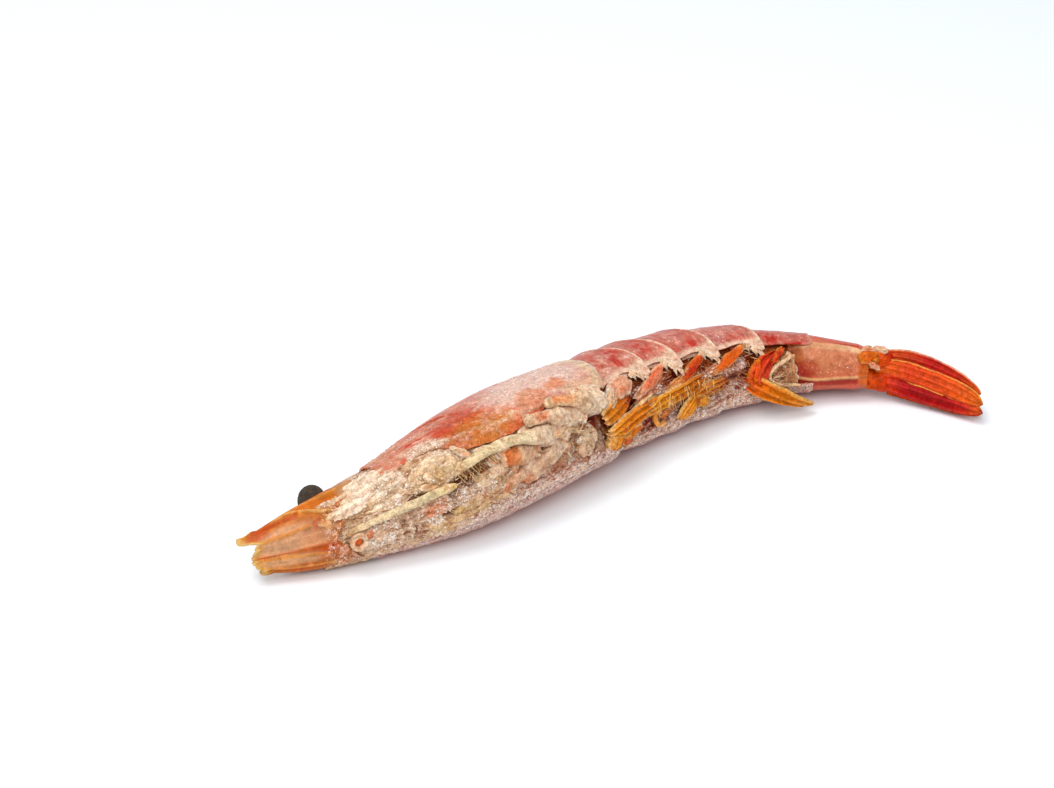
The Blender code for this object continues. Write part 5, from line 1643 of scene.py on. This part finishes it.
def limb_membrane():
    ribbon = (
        (141.0, 156, -0.6, 0.30), (140.2, 165, 0.5, 0.42), (137.6, 173, 0.9, 0.45), (134.8, 183, 1.0, 0.45),
        (134.0, 191, 0.9, 0.45), (135.6, 200, 0.9, 0.45), (139.6, 208, 1.0, 0.40), (143.5, 214, 0.6, 0.3),
    )
    tones = ((0, (240, 214, 184)), (0.5, (250, 236, 216)), (1, (244, 222, 190)))
    build("limb_membrane", LIMB_LOOK, "limb", (
        (rod, ribbon, tones, 1.5, None, (), 0.16, 0.2, 395, 150, 24),
        *lumps_alike(
            -1.0, 1.2, (206, 160, 126), (242, 220, 196), 0.55, 0.5, (140, 84, 52),
            (139.4, 178, 6.0, 3.0, 70, 396), (138.0, 190, 5.6, 3.0, -70, 397),
            (140.6, 199, 4.6, 3.0, -40, 398),
            (141.0, 187, 4.0, 2.4, 80, 399), (140.4, 167, 3.6, 2.0, 60, 400),
        ),
    ))


# ---------- tail

# Node, offsets as rows of (s, to the left, to the back), half widths as rows of (s, half width), tilt,
# thickness, colours along it, colour of its rim, how many folds
TAIL_BLADES = (
    ("telson", ((160, 1.4, 3.4), (172, 1.5, 2.8), (186, 1.3, 1.8)),
     ((160, 3.2), (166, 3.5), (176, 2.8), (186, 0.9)), 0, 1.5,
     ((0, (206, 120, 84)), (0.12, (192, 86, 40)), (0.5, (180, 62, 16)), (1, (196, 90, 36))),
     (222, 150, 96), 6.6),
    ("uropod_inner_left", ((163.4, 2.7, 0.3), (174, 2.7, -0.3), (187.6, 1.9, -0.3)),
     ((163.4, 2.1), (168, 3), (177, 2.9), (184, 1.9), (187.6, 0.8)), 8, 1.2,
     ((0, (206, 104, 40)), (0.2, (186, 80, 24)), (0.45, (172, 50, 12)), (0.75, (180, 62, 22)),
      (1, (204, 104, 56))),
     (240, 196, 170), 4.6),
    ("uropod_inner_right", ((165.6, -2.7, 0.7), (174, -2.8, 0.6), (189, -2.1, 0.5)),
     ((165.6, 2.5), (170, 2.7), (176, 2.6), (184, 2.2), (189, 1)), -6, 1.3,
     ((0, (196, 84, 24)), (0.4, (170, 44, 4)), (1, (194, 84, 20))), (206, 104, 40), 3.2),
    ("uropod_outer_left", ((162.4, 1.3, -1.5), (174, 0.9, -2), (189.4, 0.2, -1.6)),
     ((162.4, 1.5), (168, 2.2), (178, 2.3), (186, 2), (189.4, 1.1)), 4, 1.3,
     ((0, (214, 116, 40)), (0.3, (204, 84, 14)), (0.7, (208, 96, 20)), (1, (210, 116, 40))),
     (236, 184, 120), 3.2),
    ("uropod_outer_right", ((163.6, -2, -1.5), (174, -2.3, -1.6), (189.6, -1.4, -1.4)),
     ((163.6, 1.3), (166, 2.2), (170, 2.7), (178, 2.7), (186, 2.1), (189.6, 1)), -8, 1.3,
     ((0, (206, 96, 30)), (0.1, (196, 74, 18)), (0.25, (160, 32, 0)), (0.7, (162, 32, 0)),
      (0.85, (186, 60, 6)),
      (1, (206, 104, 24))),
     (200, 84, 16), 2.6),
)


# ---------- ice grains and bristles


def tail_blades():
    for number, (name, offsets, widths, tilt, thickness, tones, rim, folds) in enumerate(TAIL_BLADES):
        first, last = offsets[0][0], offsets[-1][0]
        t = np.linspace(0, 1, 130)
        s = first + (last - first) * t
        to_left = smooth([(row[0], row[1]) for row in offsets], s)
        to_back = smooth([(row[0], row[2]) for row in offsets], s)
        _, _, left, back = sections(s)
        a = math.radians(tilt)
        across = left * math.cos(a) + back * math.sin(a)
        through = back * math.cos(a) - left * math.sin(a)
        if name != "telson":
            through = -through
        wide = smooth(widths, s) * np.sqrt(np.clip(1 - ((t - 0.92) / 0.08).clip(0, 0.98) ** 2, 0.03, 1))
        place = local(s, to_left, to_back) + through * thickness * 0.5
        piece = Piece()
        leaf(
            piece, place - through * 0.35, across, through, wide, t, tones, rim, 400 + 11 * number, 0.55,
            folds,
            0.13, thickness, 0.10, 0.25, 0.03, 60, 0.7,
        )
        label = "tail_spine" if name == "telson" else name.replace("uropod", "tail_blade")
        piece.finish(label, TAIL_LOOK, "tail", name)


def knob(piece, side, shade):
    """The joint of the tail blades of a side, 1 for left and -1 for right."""
    rows, sides = 80, 72
    t = np.linspace(0, 1, rows)
    s = 159.4 + 7.2 * t
    _, _, left, back = sections(s)
    size = 2.6 * np.sqrt(np.clip(1 - np.abs(2 * t - 1) ** 3.0, 0.05, 1)) * (1 + 0.05 * np.sin(t * 9))
    a = round_angles(sides)[None, :, None]
    out = left[:, None] * np.cos(a) + back[:, None] * np.sin(a)
    rings = local(s, 2.3 * side, -0.3)[:, None] + out * size[:, None, None]
    bumps = 0.5 * layered(rings, 2.0, 450 + side) + 0.8 * creased(rings, 2.4, 455 + side, 3, 1.6)
    rings = rings + out * (0.22 * bumps)[..., None]
    tone = banded(((0, (226, 150, 96)), (0.35, (222, 116, 36)), (1, (204, 78, 20))), t, sides)
    # Painted shade: darker red in the dips between the bumps.
    tone = coated(tone, ((176, 44, 14), step(0.0, -0.5, bumps) * 0.7))
    piece.tube(rings, tone * np.array(shade), 0.15 + 0.2 * layered(rings, 1.2, 452))


def tail_knobs():
    build("tail_knob_left", TAIL_LOOK, "tail", (
        (knob, 1, (1, 1, 1)),
        (lump, 160.8, 146, -0.5, 4.4, 3.4, 1.2, (214, 122, 50), (222, 150, 90), 10, 0.3, 0.1, 461,
         (200, 96, 34)),
        *lumps_alike(
            -0.3, 0.9, (238, 200, 180), (248, 228, 212), 0.5, 0.4, (222, 140, 110),
            (163.2, 108, 3.4, 1.5, -20, 462), (160.4, 126, 4.0, 1.1, 10, 463),
            (162.4, 166, 3.0, 1.0, -30, 464),
            (160.2, 114, 2.6, 1.2, 30, 465),
        ),
    ), "tail_root_left")
    # The right knob is a darker copy of the left one: painted shade.
    build("tail_knob_right", TAIL_LOOK, "tail", ((knob, -1, (0.86, 0.62, 0.5)),), "tail_root_right")


class Growth(Board):
    """The nodes of a tree that sets small things over a surface. Its inputs are plain numbers."""

    def __init__(self, name, *sizes):
        self.tree = bpy.data.node_groups.new(name, "GeometryNodeTree")
        face = self.tree.interface
        face.new_socket(name="Geometry", in_out="INPUT", socket_type="NodeSocketGeometry")
        self.labels = {}
        for size in sizes:
            socket = face.new_socket(name=size, in_out="INPUT", socket_type="NodeSocketFloat")
            self.labels[size] = socket.identifier
        face.new_socket(name="Geometry", in_out="OUTPUT", socket_type="NodeSocketGeometry")
        self.start = self.tree.nodes.new("NodeGroupInput")
        self.end = self.tree.nodes.new("NodeGroupOutput")

    def given(self, name):
        return Value(self, self.start.outputs[name])

    def stored(self, name, kind="FLOAT"):
        return self.make("GeometryNodeInputNamedAttribute", {"data_type": kind}, {"Name": name})

    def random(self, low, high, seed):
        return self.make("FunctionNodeRandomValue", {"data_type": "FLOAT"}, {2: low, 3: high, 8: seed}, 1)

    def finish_with(self, points, thing, turn, scale, look):
        """Sets the thing at each point, turned and sized, as real geometry in this look."""
        values = {"Points": points, "Instance": thing, "Rotation": turn, "Scale": scale}
        instances = self.make("GeometryNodeInstanceOnPoints", {}, values)
        solid = self.make("GeometryNodeRealizeInstances", {}, {0: instances})
        done = self.make("GeometryNodeSetMaterial", {}, {"Geometry": solid, "Material": look})
        self.feed(self.end, {0: done})
        return self

    def grown_on(self, source, name, slot, **sizes):
        """What the tree makes from a mesh object, as a plain mesh of its own."""
        modifier = source.modifiers.new("growth", "NODES")
        modifier.node_group = self.tree
        for label, size in sizes.items():
            modifier[self.labels[label]] = size
        graph = bpy.context.evaluated_depsgraph_get()
        mesh = bpy.data.meshes.new_from_object(source.evaluated_get(graph), depsgraph=graph)
        source.modifiers.remove(modifier)
        mesh.name = name
        points = np.empty(3 * len(mesh.vertices))
        mesh.vertices.foreach_get("co", points)
        points = np.clip(points.reshape(-1, 3), BOX_LOW * MM, BOX_HIGH * MM)
        mesh.vertices.foreach_set("co", points.ravel())
        mesh.update()
        obj = placed(name, mesh)
        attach(obj, "root")
        return obj


def ice_tree():
    """Ice grains, thickest where the surface is most frosted. density is per square millimetre."""
    grow = Growth("ice_grains", "density", "size", "least frost")
    thick = grow.grow(grow.stored("frost"), grow.given("least frost"), 1.0)
    density = thick * grow.given("density") * 1e6
    points = grow.make(
        "GeometryNodeDistributePointsOnFaces", {"distribute_method": "RANDOM"},
        {"Mesh": grow.given("Geometry"), "Density": density, "Seed": 5},
    )
    grain = grow.make("GeometryNodeMeshCube", {}, {"Size": (MM, MM, MM)})
    turn = grow.make("ShaderNodeCombineXYZ", {}, {i: grow.random(0.0, 2 * math.pi, 11 + i) for i in range(3)})
    size = grow.given("size")
    sides = {i: size * grow.random(0.45, 1.15 + 0.5 * (i == 2), 21 + i) for i in range(3)}
    scale = grow.make("ShaderNodeCombineXYZ", {}, sides)
    return grow.finish_with(points, grain, turn, scale, ICE_LOOK)


def bristle_tree():
    """A thin cone at each point of the source, pointing along its lean and as long as its reach."""
    grow = Growth("bristles", "thickness")
    cone = grow.make(
        "GeometryNodeMeshCone", {"fill_type": "NGON"},
        {"Vertices": 5, "Radius Top": 0.2 * MM, "Radius Bottom": MM, "Depth": MM},
    )
    lean = grow.stored("lean", "FLOAT_VECTOR")
    turn = grow.make("FunctionNodeAlignRotationToVector", {"axis": "Z"}, {"Vector": lean})
    thick = grow.given("thickness") * grow.random(0.7, 1.4, 3)
    scale = grow.make("ShaderNodeCombineXYZ", {}, {0: thick, 1: thick, 2: grow.stored("reach")})
    points = grow.make("GeometryNodeMeshToPoints", {}, {"Mesh": grow.given("Geometry")})
    return grow.finish_with(points, cone, turn, scale, LIMB_LOOK)


# Beds of bristles: first and last (s, phi), rise, how wide the bed is, how many bristles, how long they
# are, which way they point (0 along the body, 90 towards the back over the left side), how far that
# wanders, colours
BRISTLES = (
    ((42, 159), (52, 157), 0.1, 0.3, 30, 3.6, -78, 10, ((238, 216, 180), (150, 96, 60))),
    ((43, 170), (50, 170), -0.6, 0.6, 22, 2.2, 80, 16, ((240, 220, 190), (120, 70, 40))),
    ((24, 186), (50, 190), -0.2, 8, 300, 1.5, 10, 80, ((250, 236, 218), (214, 176, 146), (168, 116, 80))),
    ((25, 146), (45, 152), -0.1, 5, 160, 1.6, 20, 70, ((250, 236, 214), (228, 190, 150), (170, 120, 80))),
    ((46, 172), (76, 186), -1.2, 9, 460, 1.9, -20, 80, ((250, 236, 218), (226, 184, 150), (150, 92, 56))),
    ((30, 210), (78, 212), 0.1, 5, 260, 0.8, 0, 90, ((244, 222, 210), (214, 170, 156), (160, 96, 80))),
    ((62, 164), (72, 172), 0.2, 3, 40, 2.6, 30, 60, ((248, 236, 216), (236, 210, 176))),
    ((84, 170), (134, 172), -1.2, 10, 420, 1.5, -30, 80, ((240, 206, 184), (214, 150, 110), (140, 66, 40))),
    ((88, 204), (130, 202), -0.2, 5, 260, 0.9, 0, 90, ((240, 216, 204), (214, 160, 140), (150, 84, 66))),
    ((96, 184), (116, 176), 0.5, 2, 90, 2, -110, 20, ((246, 214, 160), (206, 130, 60))),
    ((135, 186), (137, 204), 0.6, 2.4, 70, 2.4, 20, 50, ((246, 226, 204), (170, 110, 76))),
)


def bristles():
    draw = np.random.default_rng(61)
    roots, leans, reaches, tones = [], [], [], []
    for (s0, phi0), (s1, phi1), rise, width, count, length, way, wander, colours in BRISTLES:
        t = (np.arange(count) + draw.random(count)) / count
        s = s0 + (s1 - s0) * t
        phi = phi0 + (phi1 - phi0) * t + (draw.random(count) - 0.5) * width / mm_per_degree((s0 + s1) / 2)
        roots.append(skin(s, phi, rise + 0.3 * draw.standard_normal(count)))
        out = outward_at(s, phi)
        out = out / np.linalg.norm(out, axis=1)[:, None]
        along = sections(s)[1]
        across = np.cross(out, along)
        angle = np.radians(way + wander * (2 * draw.random(count) - 1))[:, None]
        up = out * (0.25 + 0.25 * draw.random((count, 1)))
        leans.append(along * np.cos(angle) + across * np.sin(angle) + up)
        reaches.append(length * (0.5 + 0.8 * draw.random(count)))
        tones.append(np.array([rgb(*colour) for colour in colours])[draw.integers(0, len(colours), count)])
    mesh = bpy.data.meshes.new("bristle_bed")
    mesh.from_pydata((np.concatenate(roots) * MM).tolist(), [], [])
    store(mesh, "paint", "FLOAT_COLOR", "color", with_alpha(np.concatenate(tones)))
    store(mesh, "lean", "FLOAT_VECTOR", "vector", np.concatenate(leans))
    store(mesh, "reach", "FLOAT", "value", np.concatenate(reaches))
    bed = placed("bristle_bed", mesh)
    bristle_tree().grown_on(bed, "bristles", "limb", thickness=0.10)
    bpy.data.objects.remove(bed)


def ice_grains():
    tree = ice_tree()
    for source, name, slot, density, size, least in (
        (head_flesh, "ice_on_mouth_parts", "flesh", 6.5, 0.34, 0.35),
        (tail_flesh, "ice_on_belly", "flesh", 6.5, 0.32, 0.35),
        (head_cover, "ice_on_head_shell", "shell", 3.2, 0.22, 0.2),
        (sixth, "ice_on_sixth_segment", "flesh", 3.0, 0.18, 0.2),
        *((shell, f"ice_on_segment_{k + 1}", "shell", 4.5, 0.24, 0.3) for k, shell in enumerate(segments)),
        (plates[0], "ice_on_left_plate", "amber", 6.0, 0.15, 0.2),
        (plates[1], "ice_on_right_plate", "amber", 7.0, 0.17, 0.2),
    ):
        tree.grown_on(source, name, slot, density=density, size=size, **{"least frost": least})


walking_legs()
mouth_legs()
feelers()
small_feelers()
toothed_spine()
eyes()
swimming_limbs()
limb_membrane()
tail_blades()
tail_knobs()
bristles()
ice_grains()

# ---------- camera, lights and table


def white_table():
    bpy.ops.mesh.primitive_plane_add(size=6.0, location=(0, 0, 0))
    table = bpy.context.active_object
    table.name = "table"
    look = Board("white_table").finish({"Base Color": (0.92, 0.955, 0.99, 1.0), "Roughness": 0.8})
    table.data.materials.append(look)


def studio_light():
    world = bpy.data.worlds.new("studio")
    world.use_nodes = True
    background = world.node_tree.nodes["Background"]
    background.inputs["Color"].default_value = (0.93, 0.97, 1.0, 1.0)
    background.inputs["Strength"].default_value = 0.52
    bpy.context.scene.world = world
    for name, place, size, power in (
        ("top", (-0.24, 0.06, 0.90), 0.5, 4.2),
        ("front", (-0.24, -0.60, 0.78), 0.7, 5.3),
    ):
        lamp = bpy.data.lights.new(name, "AREA")
        lamp.size = size
        lamp.energy = power
        obj = placed(name, lamp)
        obj.location = place
        obj.rotation_euler = (Vector((0, 0, 0.01)) - Vector(place)).to_track_quat("-Z", "Y").to_euler()


def set_camera():
    camera = bpy.data.cameras.new("camera")
    camera.lens = 85
    azimuth, elevation, distance = math.radians(-21), math.radians(30), 0.560
    target = Vector((-0.0104, 0.0197, 0.0080))
    level = math.cos(elevation)
    back = Vector((math.sin(azimuth) * level, -math.cos(azimuth) * level, math.sin(elevation)))
    obj = placed("camera", camera)
    obj.location = target + back * distance
    obj.rotation_euler = back.to_track_quat("Z", "Y").to_euler()
    bpy.context.scene.camera = obj


white_table()
studio_light()
set_camera()
bpy.context.scene.view_settings.view_transform = "Standard"
